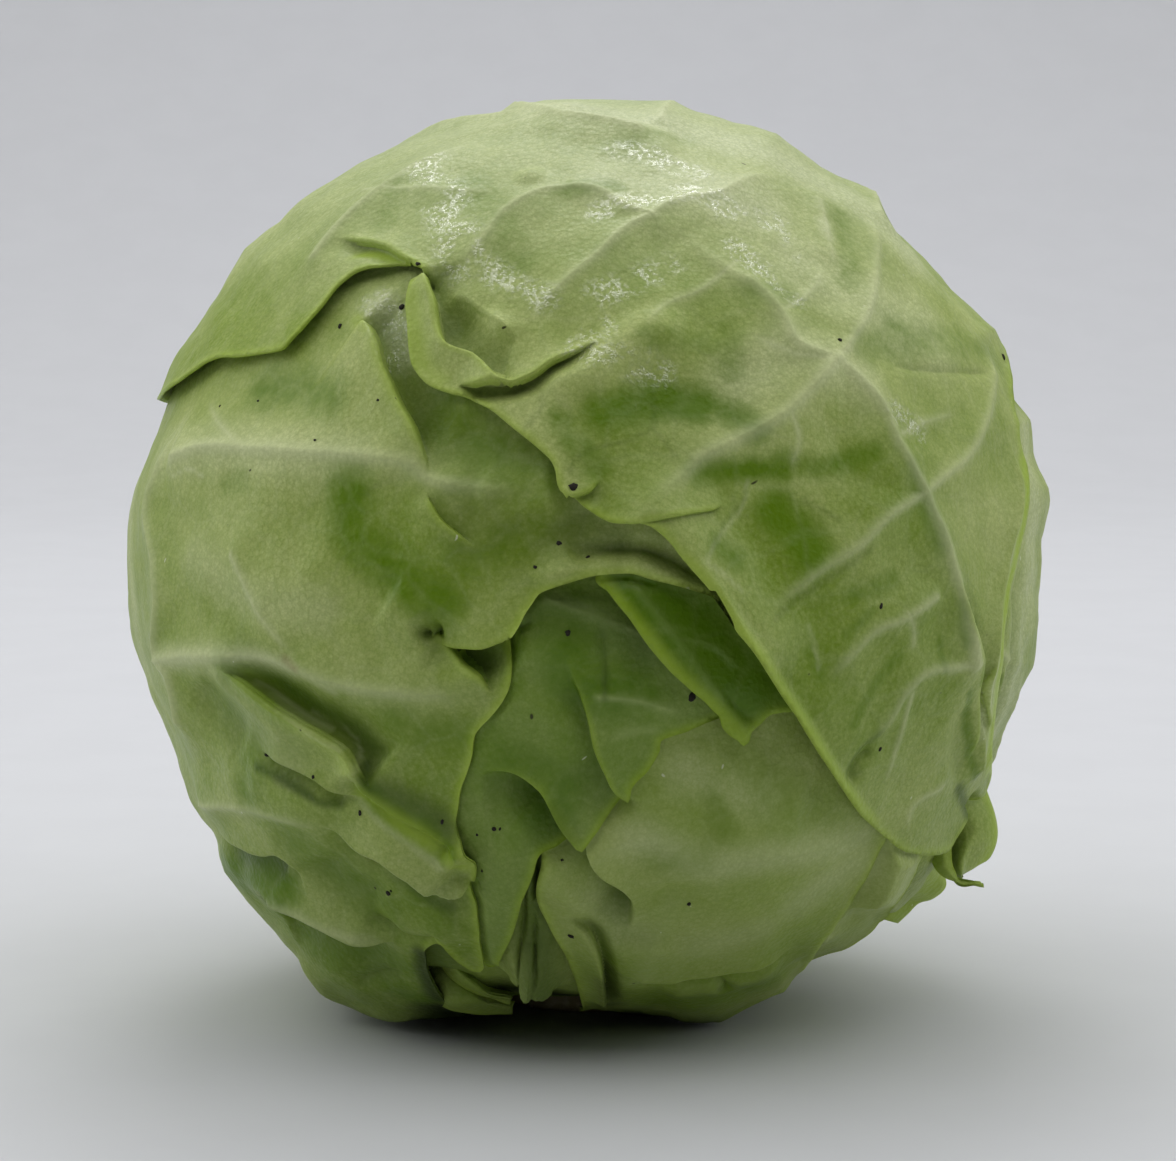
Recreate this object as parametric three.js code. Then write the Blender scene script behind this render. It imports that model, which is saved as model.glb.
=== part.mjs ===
// A head of green cabbage: the leaves that wrap it, its tight heart and its cut stem.
// Millimetres, +Z up, the origin in the middle of the stem's cut face. The front is -Y.
// Every leaf is a blade at some distance from the head's centre, given for each direction,
// and all blades share one set of directions, so that no two of them can cross.
import * as THREE from "three";
import { ConvexHull } from "three/addons/math/ConvexHull.js";

// Driving dimensions
const SIDE_RADIUS = 66;
const FRONT_RADIUS = 66;
const BACK_RADIUS = 64;
const CENTRE_HEIGHT = 64;
const LEAF_THICKNESS = 1.0;
const LEAF_GAP = 0.35;
const LAYER = LEAF_THICKNESS + LEAF_GAP;
const GROUND_CLEARANCE = 0.5;
const STEM_RADIUS = 13;
const STEM_TOP_RADIUS = 11.6;
const STEM_HEIGHT = 9;
const STEM_EDGE = 0.8;
const HEART_DEPTH = 8;
const HEART_FLOOR = STEM_HEIGHT + 0.6;

// How a leaf lies under those above it: it sinks over this distance from their edges,
// and comes up from under an edge at this slope.
const SINK_REACH = 20;
const EDGE_CLEARANCE = 1;
const RELEASE_SLOPE = 0.9;

// Spacing of the directions in front and behind, along edges and folds, and of the heart
const FRONT_STEP = 4.7;
const BACK_STEP = 7.6;
const EDGE_STEP = 3.9;
const FOLD_STEP = 4.2;
const CLEAR_OF_ROWS = 0.62;
const HEART_DETAIL = 8;
const HEART_REACH = 11;

// The front view in which the edges and folds that show there are drawn
const VIEW_UNIT = 0.145;
const VIEW_DISTANCE = 470;
const VIEW_ELEVATION = THREE.MathUtils.degToRad(7);
const VIEW_MIDDLE = [588, 580.5];
const HEAD_MIDDLE = [587.5, 561];

const forward = new THREE.Vector3(0, Math.cos(VIEW_ELEVATION), -Math.sin(VIEW_ELEVATION));
const right = new THREE.Vector3(1, 0, 0);
const up = new THREE.Vector3().crossVectors(right, forward);
const eye = new THREE.Vector3()
  .addScaledVector(forward, -VIEW_DISTANCE)
  .addScaledVector(right, (VIEW_MIDDLE[0] - HEAD_MIDDLE[0]) * VIEW_UNIT)
  .addScaledVector(up, (HEAD_MIDDLE[1] - VIEW_MIDDLE[1]) * VIEW_UNIT);

// The head's outline in the front view
const SILHOUETTE = [
  [160, 399], [181, 351], [219, 295], [245, 249], [300, 200], [359, 162], [421, 137],
  [503, 120], [576, 99], [638, 104], [720, 120], [787, 144], [856, 185], [915, 243],
  [971, 312], [1003, 363], [1035, 419], [1047, 488], [1040, 539], [1037, 621],
  [1032, 667], [1001, 731], [981, 788], [955, 840], [930, 885], [900, 923], [841, 951],
  [783, 991], [719, 1020], [683, 1020], [636, 1010], [593, 1005], [519, 1004], [482, 1011],
  [423, 1023], [380, 1015], [323, 988], [285, 944], [235, 888], [221, 856], [205, 816],
  [181, 757], [144, 669], [128, 600], [129, 513], [149, 431],
];
const LIMB_ANGLE = Math.acos(SIDE_RADIUS / VIEW_DISTANCE);
const LIMB_SPREAD = 0.3;
const BROAD_SPAN = 0.45;
const TURN = 2 * Math.PI;

// The direction from the eye through a point of the front view
function sight([u, v]) {
  const scale = VIEW_UNIT / VIEW_DISTANCE;
  return forward
    .clone()
    .addScaledVector(right, (u - VIEW_MIDDLE[0]) * scale)
    .addScaledVector(up, (VIEW_MIDDLE[1] - v) * scale)
    .normalize();
}

// The limb: distance from the head's centre by the angle round the line of sight
const limb = SILHOUETTE.map((point) => {
  const ray = sight(point);
  const nearest = eye.clone().addScaledVector(ray, -eye.dot(ray));
  return { angle: Math.atan2(nearest.dot(up), nearest.dot(right)), radius: nearest.length() };
}).sort((a, b) => a.angle - b.angle);

function limbRadius(angle) {
  const turned = ((((angle - limb[0].angle) % TURN) + TURN) % TURN) + limb[0].angle;
  let i = limb.findIndex((sample) => sample.angle > turned);
  if (i < 0) i = limb.length;
  const before = limb[i - 1];
  const after = limb[i] ?? { angle: limb[0].angle + TURN, radius: limb[0].radius };
  const share = (turned - before.angle) / (after.angle - before.angle);
  return before.radius + (after.radius - before.radius) * share;
}

function broadRadius(angle) {
  const samples = 9;
  let sum = 0;
  for (let i = 0; i < samples; i++)
    sum += limbRadius(angle + BROAD_SPAN * ((2 * i) / (samples - 1) - 1));
  return sum / samples;
}

// The radius at which a point in this direction stands on the ground
function groundRadius(direction) {
  return direction.z < 0 ? (CENTRE_HEIGHT - GROUND_CLEARANCE) / -direction.z : Infinity;
}

// The head's own rounded form, from its centre
function baseRadius(direction) {
  const facing = -direction.dot(forward);
  const aside = 1 - facing ** 2;
  const angle = Math.atan2(direction.dot(up), direction.dot(right));
  const pole = (FRONT_RADIUS + BACK_RADIUS) / 2 + ((FRONT_RADIUS - BACK_RADIUS) / 2) * facing;
  const broad = broadRadius(angle);
  const nearLimb = Math.exp(-(((Math.acos(facing) - LIMB_ANGLE) / LIMB_SPREAD) ** 2));
  const radius = pole + (broad - pole) * aside + (limbRadius(angle) - broad) * nearLimb;
  return Math.min(radius, groundRadius(direction));
}

// Directions from the head's centre, of points in the front view
function seen(points) {
  return points.map((point) => {
    const ray = sight(point);
    const along = -eye.dot(ray);
    const nearest = eye.clone().addScaledVector(ray, along);
    let direction = nearest.clone().normalize();
    for (let i = 0; i < 8; i++) {
      const half = Math.sqrt(Math.max(baseRadius(direction) ** 2 - nearest.lengthSq(), 0));
      direction = eye.clone().addScaledVector(ray, along - half).normalize();
    }
    return direction;
  });
}

// Directions of points that the front view doesn't reach, in degrees: round the stem
// from the right through the back, and above the head's centre
function hidden(points) {
  return points.map(([round, above]) => {
    const a = THREE.MathUtils.degToRad(round);
    const e = THREE.MathUtils.degToRad(above);
    return new THREE.Vector3(Math.cos(a) * Math.cos(e), Math.sin(a) * Math.cos(e), Math.sin(e));
  });
}

// The distance in mm from a direction to a path over the head, and which side it is on
function fromPath(path, direction) {
  const best = { mm: Infinity, left: true };
  const segment = new THREE.Vector3();
  const foot = new THREE.Vector3();
  const last = Math.max(path.length - 1, 1);
  for (let i = 0; i < last; i++) {
    const a = path[i];
    const b = path[i + 1] ?? a;
    segment.subVectors(b, a);
    const length = segment.lengthSq() || 1;
    const share = THREE.MathUtils.clamp(foot.subVectors(direction, a).dot(segment) / length, 0, 1);
    foot.copy(a).addScaledVector(segment, share);
    const mm = foot.distanceTo(direction) * SIDE_RADIUS;
    if (mm < best.mm) {
      best.mm = mm;
      best.left = foot.crossVectors(a, b).dot(direction) > 0;
    }
  }
  return best;
}

const bump = (share) => (share < 1 ? (1 - share ** 2) ** 2 : 0);

// A fold or vein that stands up, or a groove where the height is negative
function ridge(height, width, path) {
  return { path, rise: ({ mm }) => height * bump(mm / width) };
}

// Veins by their height and half-width
const BASE_RIB = [2.2, 8];
const MIDRIB = [1.4, 5];
const SIDE_VEIN = [1.1, 4.5];
const vein = ([height, width], path) => ridge(height, width, path);

// A fold whose left side stands high and drops to its right side
function step(height, high, low, path) {
  return {
    path,
    rise: ({ mm, left }) => (left ? height * bump(mm / high) : -height * bump(mm / low)),
  };
}

const PALE = 0xb9c795;
const LIGHT = 0xa3b97c;
const GREEN = 0x8ca85c;
const SHADED = 0x7d9a4c;

// Leaves, from the outermost in. Each lies under those before it where they meet.
const leaves = [];

leaves.push({
  name: "leaf_crown",
  colour: LIGHT,
  outline: [
    ...seen([
      [160, 399], [192, 379], [221, 360], [253, 355], [287, 350], [317, 320], [349, 283],
      [381, 269], [425, 273], [411, 295], [409, 330], [419, 376], [453, 395], [494, 413],
      [528, 441], [554, 466], [559, 491], [585, 508], [613, 524], [648, 530], [677, 559],
      [709, 601], [740, 644], [780, 700], [820, 761], [857, 812], [884, 836], [916, 851],
      [936, 855], [945, 878], [963, 880], [987, 861], [994, 828], [981, 788], [990, 735],
      [996, 661], [1012, 565], [1023, 507], [1015, 440], [1003, 363],
    ]),
    ...hidden([[15, 36], [32, 46], [62, 51], [95, 47], [130, 38], [158, 29]]),
  ],
  folds: [
    vein(MIDRIB, seen([
      [975, 665], [960, 580], [930, 490], [899, 435], [838, 358], [784, 311], [733, 265], [650, 212],
    ])),
    vein(SIDE_VEIN, seen([[650, 212], [603, 246], [544, 297]])),
    vein(SIDE_VEIN, seen([[650, 212], [597, 184], [524, 193], [440, 270]])),
    vein(SIDE_VEIN, seen([[650, 212], [720, 190], [787, 171]])),
    vein(SIDE_VEIN, seen([[838, 358], [787, 411], [706, 453], [640, 503]])),
    vein(SIDE_VEIN, seen([[838, 358], [875, 293], [879, 221]])),
    vein(SIDE_VEIN, seen([[930, 490], [968, 459], [989, 421], [997, 368], [987, 328]])),
    vein(SIDE_VEIN, seen([[930, 490], [863, 544], [764, 611]])),
    vein(SIDE_VEIN, seen([[975, 665], [916, 680], [873, 741]])),
    vein(SIDE_VEIN, seen([[318, 247], [380, 186], [485, 127]])),
    ridge(1.0, 4, seen([[344, 243], [389, 250], [421, 270]])),
    ridge(3.4, 6, seen([[424, 284], [417, 312], [420, 350], [434, 376], [462, 390]])),
    ridge(-2.4, 7, seen([[462, 312], [478, 328]])),
    ridge(1.8, 4.5, seen([[440, 335], [475, 357], [501, 372], [544, 355], [600, 344]])),
    ridge(-2.6, 4, seen([[470, 385], [504, 381], [549, 360]])),
    ridge(1.4, 6, seen([[544, 391], [597, 363], [640, 336], [693, 329]])),
    ridge(2.6, 13, seen([[600, 512], [660, 540], [705, 597], [750, 660]])),
    ridge(-1.6, 4, seen([[862, 748], [846, 770]])),
    ridge(4.2, 11, seen([[966, 820], [972, 850]])),
    ridge(-2.5, 3.5, seen([[954, 796], [962, 826]])),
  ],
});

leaves.push({
  name: "leaf_left",
  colour: LIGHT,
  outline: [
    ...seen([
      [750, 600], [690, 590], [665, 583], [633, 574], [601, 575], [569, 583], [540, 593],
      [524, 615], [504, 632], [511, 675], [505, 697], [478, 735], [468, 770], [458, 815],
      [473, 855], [476, 874], [467, 895], [479, 925], [483, 968], [478, 1008],
    ]),
    ...hidden([
      [-99, -76], [-125, -76], [-150, -76], [-175, -76], [165, -74], [150, -60], [140, -35],
      [137, -5], [140, 20], [150, 40],
    ]),
    ...seen([[300, 230], [380, 205], [480, 235], [590, 330], [660, 420], [720, 510]]),
  ],
  folds: [
    step(1.7, 16, 9, seen([[463, 537], [432, 511], [430, 470], [397, 407], [376, 353], [355, 319]])),
    vein(SIDE_VEIN, seen([[171, 455], [240, 445], [333, 451], [427, 471], [467, 484], [540, 485]])),
    vein(SIDE_VEIN, seen([[153, 661], [240, 659], [301, 677], [413, 699], [488, 702]])),
    vein(SIDE_VEIN, seen([[195, 808], [253, 813], [333, 832]])),
    vein(SIDE_VEIN, seen([[253, 899], [328, 928], [389, 949]])),
    vein(MIDRIB, seen([[176, 402], [149, 476], [147, 553], [153, 661]])),
    ridge(2.6, 6, seen([[700, 588], [650, 568], [600, 565], [560, 575], [538, 600]])),
    ridge(-2.4, 5, seen([[237, 665], [293, 707], [339, 736], [361, 770], [403, 805], [437, 824]])),
    ridge(2.2, 6, seen([[349, 797], [387, 820], [427, 845], [452, 868]])),
    ridge(-2.2, 5, seen([[265, 760], [312, 779], [350, 797]])),
    ridge(-2.8, 4.5, seen([[344, 836], [392, 864], [427, 896], [455, 903]])),
    ridge(-3.4, 4.5, seen([[428, 631], [450, 640]])),
    ridge(1.6, 6, seen([[440, 660], [477, 690]])),
    ridge(-2.6, 5, seen([[227, 843], [272, 856], [297, 893]])),
    ridge(1.8, 12, seen([[300, 915], [370, 925], [420, 918]])),
    ridge(-1.8, 4.5, seen([[376, 944], [421, 946], [448, 932]])),
    ridge(-1.6, 4, seen([[430, 955], [437, 984]])),
    vein(SIDE_VEIN, hidden([[-172, -62], [168, -35], [155, -10]])),
    vein(SIDE_VEIN, hidden([[174, -8], [160, 12], [150, 28]])),
  ],
});

leaves.push({
  name: "leaf_tip",
  colour: SHADED,
  outline: seen([
    [595, 579], [617, 604], [639, 633], [671, 672], [703, 700], [722, 722], [743, 745],
    [756, 728], [777, 714], [800, 712], [830, 700], [800, 640], [760, 580], [700, 545],
    [630, 548],
  ]),
  folds: [vein(SIDE_VEIN, seen([[640, 600], [690, 655], [740, 715]]))],
});

leaves.push({
  name: "leaf_middle",
  colour: GREEN,
  outline: [
    ...seen([
      [720, 723], [687, 735], [663, 745], [647, 775], [632, 788], [607, 820], [580, 844],
      [553, 852], [540, 855], [529, 883], [515, 928], [500, 958], [494, 1000],
    ]),
    ...hidden([[-94, -76], [-106, -76]]),
    ...seen([
      [465, 990], [450, 930], [435, 860], [425, 780], [440, 690], [480, 600], [540, 545],
      [640, 540], [740, 600], [800, 660], [790, 700],
    ]),
  ],
  folds: [
    ridge(1.6, 6, seen([[577, 697], [592, 737], [607, 783], [628, 796]])),
    ridge(1.3, 6, seen([[508, 719], [553, 727], [597, 764]])),
    ridge(1.6, 6, seen([[481, 767], [537, 792], [569, 833]])),
    ridge(-1.8, 6, seen([[552, 812], [568, 828]])),
    ridge(2.0, 6, seen([[505, 850], [500, 910], [491, 960]])),
  ],
});

leaves.push({
  name: "leaf_lower_right",
  colour: PALE,
  outline: [
    ...seen([
      [586, 843], [593, 862], [612, 881], [633, 904], [628, 928], [610, 955], [606, 998],
    ]),
    ...hidden([[-86, -76], [-62, -76]]),
    ...seen([
      [722, 1018], [760, 1000], [793, 977], [820, 941], [857, 897], [877, 863], [895, 830],
      [860, 770], [800, 700], [730, 680], [650, 700], [600, 760], [575, 810],
    ]),
  ],
  folds: [
    vein(MIDRIB, seen([[640, 990], [660, 930], [700, 865]])),
    vein(SIDE_VEIN, seen([[615, 815], [700, 865], [780, 855], [868, 852]])),
    ridge(-1.8, 5, seen([[650, 974], [687, 970], [740, 964], [775, 957]])),
    ridge(1.6, 9, seen([[600, 850], [640, 885]])),
    ridge(-1.4, 4, seen([[716, 972], [720, 984]])),
  ],
});

leaves.push({
  name: "leaf_lower_back",
  colour: PALE,
  outline: [
    ...seen([
      [921, 852], [918, 872], [905, 895], [884, 919], [845, 949],
    ]),
    ...hidden([[-24, -64], [-12, -76], [-50, -76]]),
    ...seen([
      [740, 1000], [770, 930], [810, 860], [850, 800], [900, 800],
    ]),
  ],
  folds: [vein(SIDE_VEIN, seen([[905, 850], [860, 905], [812, 955]]))],
});

leaves.push({
  name: "leaf_right",
  colour: GREEN,
  outline: [
    ...seen([
      [930, 800], [935, 865], [944, 883], [924, 900], [911, 908], [900, 923],
    ]),
    ...hidden([
      [-22, -66], [-20, -76], [22, -76], [42, -60], [52, -35], [56, 0], [46, 32], [24, 48],
    ]),
    ...seen([[965, 330], [950, 420], [945, 520], [935, 620], [925, 720]]),
  ],
  folds: [
    ridge(1.4, 7, seen([[1012, 400], [1028, 470], [1028, 530], [1014, 600], [1006, 660]])),
    vein(MIDRIB, hidden([[8, -70], [12, -40], [16, -10], [20, 20], [18, 42]])),
    vein(SIDE_VEIN, hidden([[12, -40], [30, -24], [44, -18]])),
    vein(SIDE_VEIN, hidden([[16, -10], [32, 6], [46, 12]])),
  ],
});

leaves.push({
  name: "leaf_back",
  colour: LIGHT,
  outline: hidden([
    [28, -76], [60, -76], [95, -76], [130, -76], [158, -76], [168, -50], [170, -15],
    [172, 20], [162, 46], [120, 60], [75, 62], [36, 56], [26, 30], [24, 0], [24, -30],
    [24, -58],
  ]),
  folds: [
    vein(BASE_RIB, hidden([[94, -74], [94, -40], [93, -8]])),
    vein(MIDRIB, hidden([[93, -8], [93, 18], [92, 46]])),
    vein(SIDE_VEIN, hidden([[94, -58], [118, -30], [136, 6]])),
    vein(SIDE_VEIN, hidden([[94, -58], [72, -34], [56, -14]])),
    vein(SIDE_VEIN, hidden([[93, -24], [114, 6], [128, 34]])),
    vein(SIDE_VEIN, hidden([[93, -24], [74, 2], [60, 26]])),
    vein(SIDE_VEIN, hidden([[93, 12], [106, 34]])),
    vein(SIDE_VEIN, hidden([[93, 12], [80, 34]])),
  ],
});

leaves.push({
  name: "leaf_inner",
  colour: PALE,
  outline: [
    ...seen([[650, 860], [652, 930], [640, 1000]]),
    ...hidden([[-78, -76], [-112, -76]]),
    ...seen([
      [430, 1000], [412, 950], [440, 880], [480, 820], [540, 800], [600, 810],
    ]),
  ],
  folds: [
    ridge(3.4, 12, seen([[568, 890], [585, 915]])),
    ridge(1.9, 4, seen([[430, 950], [478, 990]])),
    ridge(1.9, 4, seen([[528, 885], [531, 985]])),
    ridge(1.9, 4, seen([[545, 925], [553, 985]])),
    ridge(2.2, 5, seen([[575, 935], [588, 995]])),
    ridge(-1.6, 4, seen([[541, 870], [541, 960]])),
  ],
});

// A path with points at most one step apart
function resample(path, stepLength, closed) {
  const ends = closed ? [...path, path[0]] : path;
  const points = [];
  for (let i = 0; i + 1 < ends.length; i++) {
    const count = Math.max(1, Math.round((ends[i].distanceTo(ends[i + 1]) * SIDE_RADIUS) / stepLength));
    for (let j = 0; j < count; j++)
      points.push(ends[i].clone().lerp(ends[i + 1], j / count).normalize());
  }
  if (!closed) points.push(ends[ends.length - 1].clone());
  return points;
}

// The shared directions: rows along edges and folds first, then an even spiral of points
// round the line of sight, closer in front than behind
function spreadDirections() {
  const directions = [];
  const add = (direction, clear) => {
    const reach = clear / SIDE_RADIUS;
    if (!directions.some((other) => other.distanceTo(direction) < reach)) directions.push(direction);
  };
  for (const { outline } of leaves)
    for (const point of resample(outline, EDGE_STEP, true)) add(point, CLEAR_OF_ROWS * EDGE_STEP);
  for (const { folds } of leaves)
    for (const { path } of folds)
      for (const point of resample(path, FOLD_STEP, false)) add(point, CLEAR_OF_ROWS * FOLD_STEP);

  const hexagonShare = Math.sqrt(3) / 2;
  const halfArea = TURN * SIDE_RADIUS ** 2;
  const inFront = Math.round(halfArea / (hexagonShare * FRONT_STEP ** 2));
  const behind = Math.round(halfArea / (hexagonShare * BACK_STEP ** 2));
  const goldenTurn = Math.PI * (3 - Math.sqrt(5));
  for (let i = 0; i < inFront + behind; i++) {
    const facing = i < inFront ? 1 - (i + 0.5) / inFront : -(i - inFront + 0.5) / behind;
    const aside = Math.sqrt(1 - facing ** 2);
    const direction = new THREE.Vector3()
      .addScaledVector(forward, -facing)
      .addScaledVector(right, aside * Math.cos(i * goldenTurn))
      .addScaledVector(up, aside * Math.sin(i * goldenTurn));
    add(direction, CLEAR_OF_ROWS * (i < inFront ? FRONT_STEP : BACK_STEP));
  }
  return directions;
}

// Triangles between the directions, from their convex hull
function triangulate(directions) {
  const index = new Map(directions.map((direction, i) => [direction, i]));
  return new ConvexHull().setFromPoints(directions).faces.map((face) => {
    const first = face.edge;
    return [first, first.next, first.next.next].map((edge) => index.get(edge.head().point));
  });
}

// Whether a direction is inside a leaf's outline, which is flattened about its middle
function insideTest(outline) {
  const middle = outline.reduce((sum, d) => sum.add(d), new THREE.Vector3()).normalize();
  const across = new THREE.Vector3(0, 0, 1).cross(middle).normalize();
  const along = new THREE.Vector3().crossVectors(middle, across);
  const flatten = (direction) => {
    const angle = Math.acos(THREE.MathUtils.clamp(direction.dot(middle), -1, 1));
    const x = direction.dot(across);
    const y = direction.dot(along);
    const scale = angle / (Math.hypot(x, y) || 1);
    return [x * scale, y * scale];
  };
  const flat = resample(outline, EDGE_STEP, true).map(flatten);
  return (direction) => {
    const [x, y] = flatten(direction);
    let inside = false;
    flat.forEach(([ax, ay], i) => {
      const [bx, by] = flat[(i + 1) % flat.length];
      if (ay > y !== by > y && x < ax + ((y - ay) / (by - ay)) * (bx - ax)) inside = !inside;
    });
    return inside;
  };
}

// The triangles that hang together by edges, in groups
function groupsOf(triangles, neighbours) {
  const left = new Set(triangles);
  const groups = [];
  while (left.size) {
    const group = [];
    const queue = [left.values().next().value];
    left.delete(queue[0]);
    while (queue.length) {
      const triangle = queue.pop();
      group.push(triangle);
      for (const other of neighbours(triangle))
        if (left.delete(other)) queue.push(other);
    }
    groups.push(group);
  }
  return groups.sort((a, b) => b.length - a.length);
}

const sharesEdge = (a, b) => a.filter((corner) => b.includes(corner)).length === 2;

// One piece of surface that nowhere hangs together by a corner only
function cleaned(triangles) {
  let kept = triangles;
  for (;;) {
    const atCorner = new Map();
    for (const triangle of kept)
      for (const corner of triangle) {
        if (!atCorner.has(corner)) atCorner.set(corner, []);
        atCorner.get(corner).push(triangle);
      }
    const neighbours = (triangle) =>
      triangle.flatMap((corner) => atCorner.get(corner).filter((other) => sharesEdge(triangle, other)));
    const dropped = new Set(groupsOf(kept, neighbours).slice(1).flat());
    for (const around of atCorner.values()) {
      const fans = groupsOf(around, (triangle) => around.filter((other) => sharesEdge(triangle, other)));
      for (const triangle of fans.slice(1).flat()) dropped.add(triangle);
    }
    if (!dropped.size) return kept;
    kept = kept.filter((triangle) => !dropped.has(triangle));
  }
}

function geometryOf(positions, triangles) {
  const geometry = new THREE.BufferGeometry();
  geometry.setAttribute("position", new THREE.Float32BufferAttribute(positions.flatMap((p) => p.toArray()), 3));
  geometry.setIndex(triangles.flat());
  geometry.computeVertexNormals();
  return geometry;
}

function solid(name, geometry, colour, roughness) {
  const mesh = new THREE.Mesh(
    geometry,
    new THREE.MeshStandardMaterial({ color: colour, roughness, metalness: 0 }),
  );
  mesh.name = name;
  return mesh;
}

const directions = spreadDirections();
const faces = triangulate(directions);
const ground = directions.map(groundRadius);

function middleOf(corners) {
  return corners.reduce((sum, corner) => sum.add(directions[corner]), new THREE.Vector3()).normalize();
}

// Each leaf's triangles, its distance beyond its edge, not above 0 on them, and its outer radius
leaves.forEach((leaf, order) => {
  const inside = insideTest(leaf.outline);
  const edge = [...leaf.outline, leaf.outline[0]];
  leaf.patch = cleaned(faces.filter((corners) => inside(middleOf(corners))));
  const own = new Set(leaf.patch.flat());
  leaf.beyond = directions.map((direction, i) => {
    const { mm } = fromPath(edge, direction);
    return own.has(i) || inside(direction) ? -mm : mm;
  });
  leaf.outer = directions.map((direction, i) => {
    let radius = baseRadius(direction);
    let limit = ground[i];
    for (const above of leaves.slice(0, order)) {
      radius -= LAYER * bump(Math.max(above.beyond[i], 0) / SINK_REACH);
      const free = RELEASE_SLOPE * Math.max(above.beyond[i] - EDGE_CLEARANCE, 0);
      limit = Math.min(limit, above.outer[i] - LAYER + free);
    }
    for (const { path, rise } of leaf.folds) radius += rise(fromPath(path, direction));
    return Math.min(radius, limit);
  });
});

const at = (direction, radius) => direction.clone().multiplyScalar(radius);

function leafMesh({ name, colour, patch, outer }) {
  const corners = [...new Set(patch.flat())];
  const place = new Map(corners.map((corner, i) => [corner, i]));
  const count = corners.length;
  const positions = [
    ...corners.map((corner) => at(directions[corner], outer[corner])),
    ...corners.map((corner) => at(directions[corner], outer[corner] - LEAF_THICKNESS)),
  ];
  const triangles = [];
  const edges = new Set();
  for (const triangle of patch) {
    const [a, b, c] = triangle.map((corner) => place.get(corner));
    triangles.push([a, b, c], [c + count, b + count, a + count]);
    for (const [from, to] of [[a, b], [b, c], [c, a]]) edges.add(from + "," + to);
  }
  for (const key of edges) {
    const [from, to] = key.split(",").map(Number);
    if (edges.has(to + "," + from)) continue;
    triangles.push([to, from, from + count], [to, from + count, to + count]);
  }
  return solid(name, geometryOf(positions, triangles), colour, 0.55);
}

// The tight inner head, everywhere clear of the leaves over it and of the stem
function heartMesh() {
  const roof = directions.map((direction, i) => {
    let radius = baseRadius(direction) - HEART_DEPTH;
    for (const leaf of leaves)
      if (leaf.beyond[i] < EDGE_STEP) radius = Math.min(radius, leaf.outer[i] - LAYER);
    return radius;
  });
  const near = HEART_REACH / SIDE_RADIUS;
  const sphere = new THREE.IcosahedronGeometry(1, HEART_DETAIL).getAttribute("position");
  const corners = new Map();
  const triangles = [];
  for (let i = 0; i < sphere.count; i++) {
    const direction = new THREE.Vector3().fromBufferAttribute(sphere, i).normalize();
    const key = direction.toArray().map((value) => value.toFixed(4)).join();
    if (!corners.has(key)) corners.set(key, { direction, i: corners.size });
    if (i % 3 === 0) triangles.push([]);
    triangles[triangles.length - 1].push(corners.get(key).i);
  }
  const positions = [...corners.values()].map(({ direction }) => {
    let radius = SIDE_RADIUS;
    directions.forEach((other, i) => {
      if (other.distanceTo(direction) < near) radius = Math.min(radius, roof[i]);
    });
    if (direction.z < 0) radius = Math.min(radius, (CENTRE_HEIGHT - HEART_FLOOR) / -direction.z);
    return at(direction, radius);
  });
  return solid("heart", geometryOf(positions, triangles), 0xc9d3a2, 0.6);
}

// The stalk, cut off flat where the head was taken from the plant
function stemMesh() {
  const profile = [
    [0, 0],
    [STEM_RADIUS - STEM_EDGE, 0],
    [STEM_RADIUS, STEM_EDGE],
    [STEM_TOP_RADIUS, STEM_HEIGHT - STEM_EDGE],
    [STEM_TOP_RADIUS - STEM_EDGE, STEM_HEIGHT],
    [0, STEM_HEIGHT],
  ].map(([radius, height]) => new THREE.Vector2(radius, height));
  const upright = new THREE.LatheGeometry(profile, 30).rotateX(Math.PI / 2);
  return solid("stem", upright, 0xd9d6b4, 0.8);
}

const head = new THREE.Group();
head.position.z = CENTRE_HEIGHT;
head.add(...leaves.map(leafMesh), heartMesh());

const cabbage = new THREE.Group();
cabbage.add(head, stemMesh());

export default cabbage;
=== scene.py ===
# A head of green cabbage on a pale table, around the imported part.
# Every leaf is a blade at some distance from the head's centre, given for each direction.
# The front's edges, folds and veins are drawn on the front view, in its own units.
import math

import bpy
import numpy as np
from mathutils import Matrix, Vector
from mathutils.bvhtree import BVHTree
from mathutils.geometry import delaunay_2d_cdt


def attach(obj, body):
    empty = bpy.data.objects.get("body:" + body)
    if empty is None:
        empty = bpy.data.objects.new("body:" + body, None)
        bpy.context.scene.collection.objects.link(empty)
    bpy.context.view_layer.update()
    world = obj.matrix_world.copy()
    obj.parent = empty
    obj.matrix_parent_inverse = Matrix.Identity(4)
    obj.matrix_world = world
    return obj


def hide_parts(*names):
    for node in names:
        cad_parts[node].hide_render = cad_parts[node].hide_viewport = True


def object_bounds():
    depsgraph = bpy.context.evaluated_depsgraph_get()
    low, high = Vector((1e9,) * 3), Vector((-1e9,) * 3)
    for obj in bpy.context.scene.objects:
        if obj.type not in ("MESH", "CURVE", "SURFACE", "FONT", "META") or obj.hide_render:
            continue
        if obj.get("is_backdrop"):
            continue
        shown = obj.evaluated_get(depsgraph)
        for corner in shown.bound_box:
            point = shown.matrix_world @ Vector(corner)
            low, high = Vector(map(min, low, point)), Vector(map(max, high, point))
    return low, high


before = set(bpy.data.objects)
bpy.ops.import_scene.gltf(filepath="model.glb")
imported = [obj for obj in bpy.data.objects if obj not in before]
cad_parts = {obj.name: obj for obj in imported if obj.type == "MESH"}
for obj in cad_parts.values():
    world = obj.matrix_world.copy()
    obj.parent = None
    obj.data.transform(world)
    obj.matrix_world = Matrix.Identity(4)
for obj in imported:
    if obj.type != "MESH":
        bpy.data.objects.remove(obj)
cad_low, cad_high = (list(corner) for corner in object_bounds())

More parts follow.
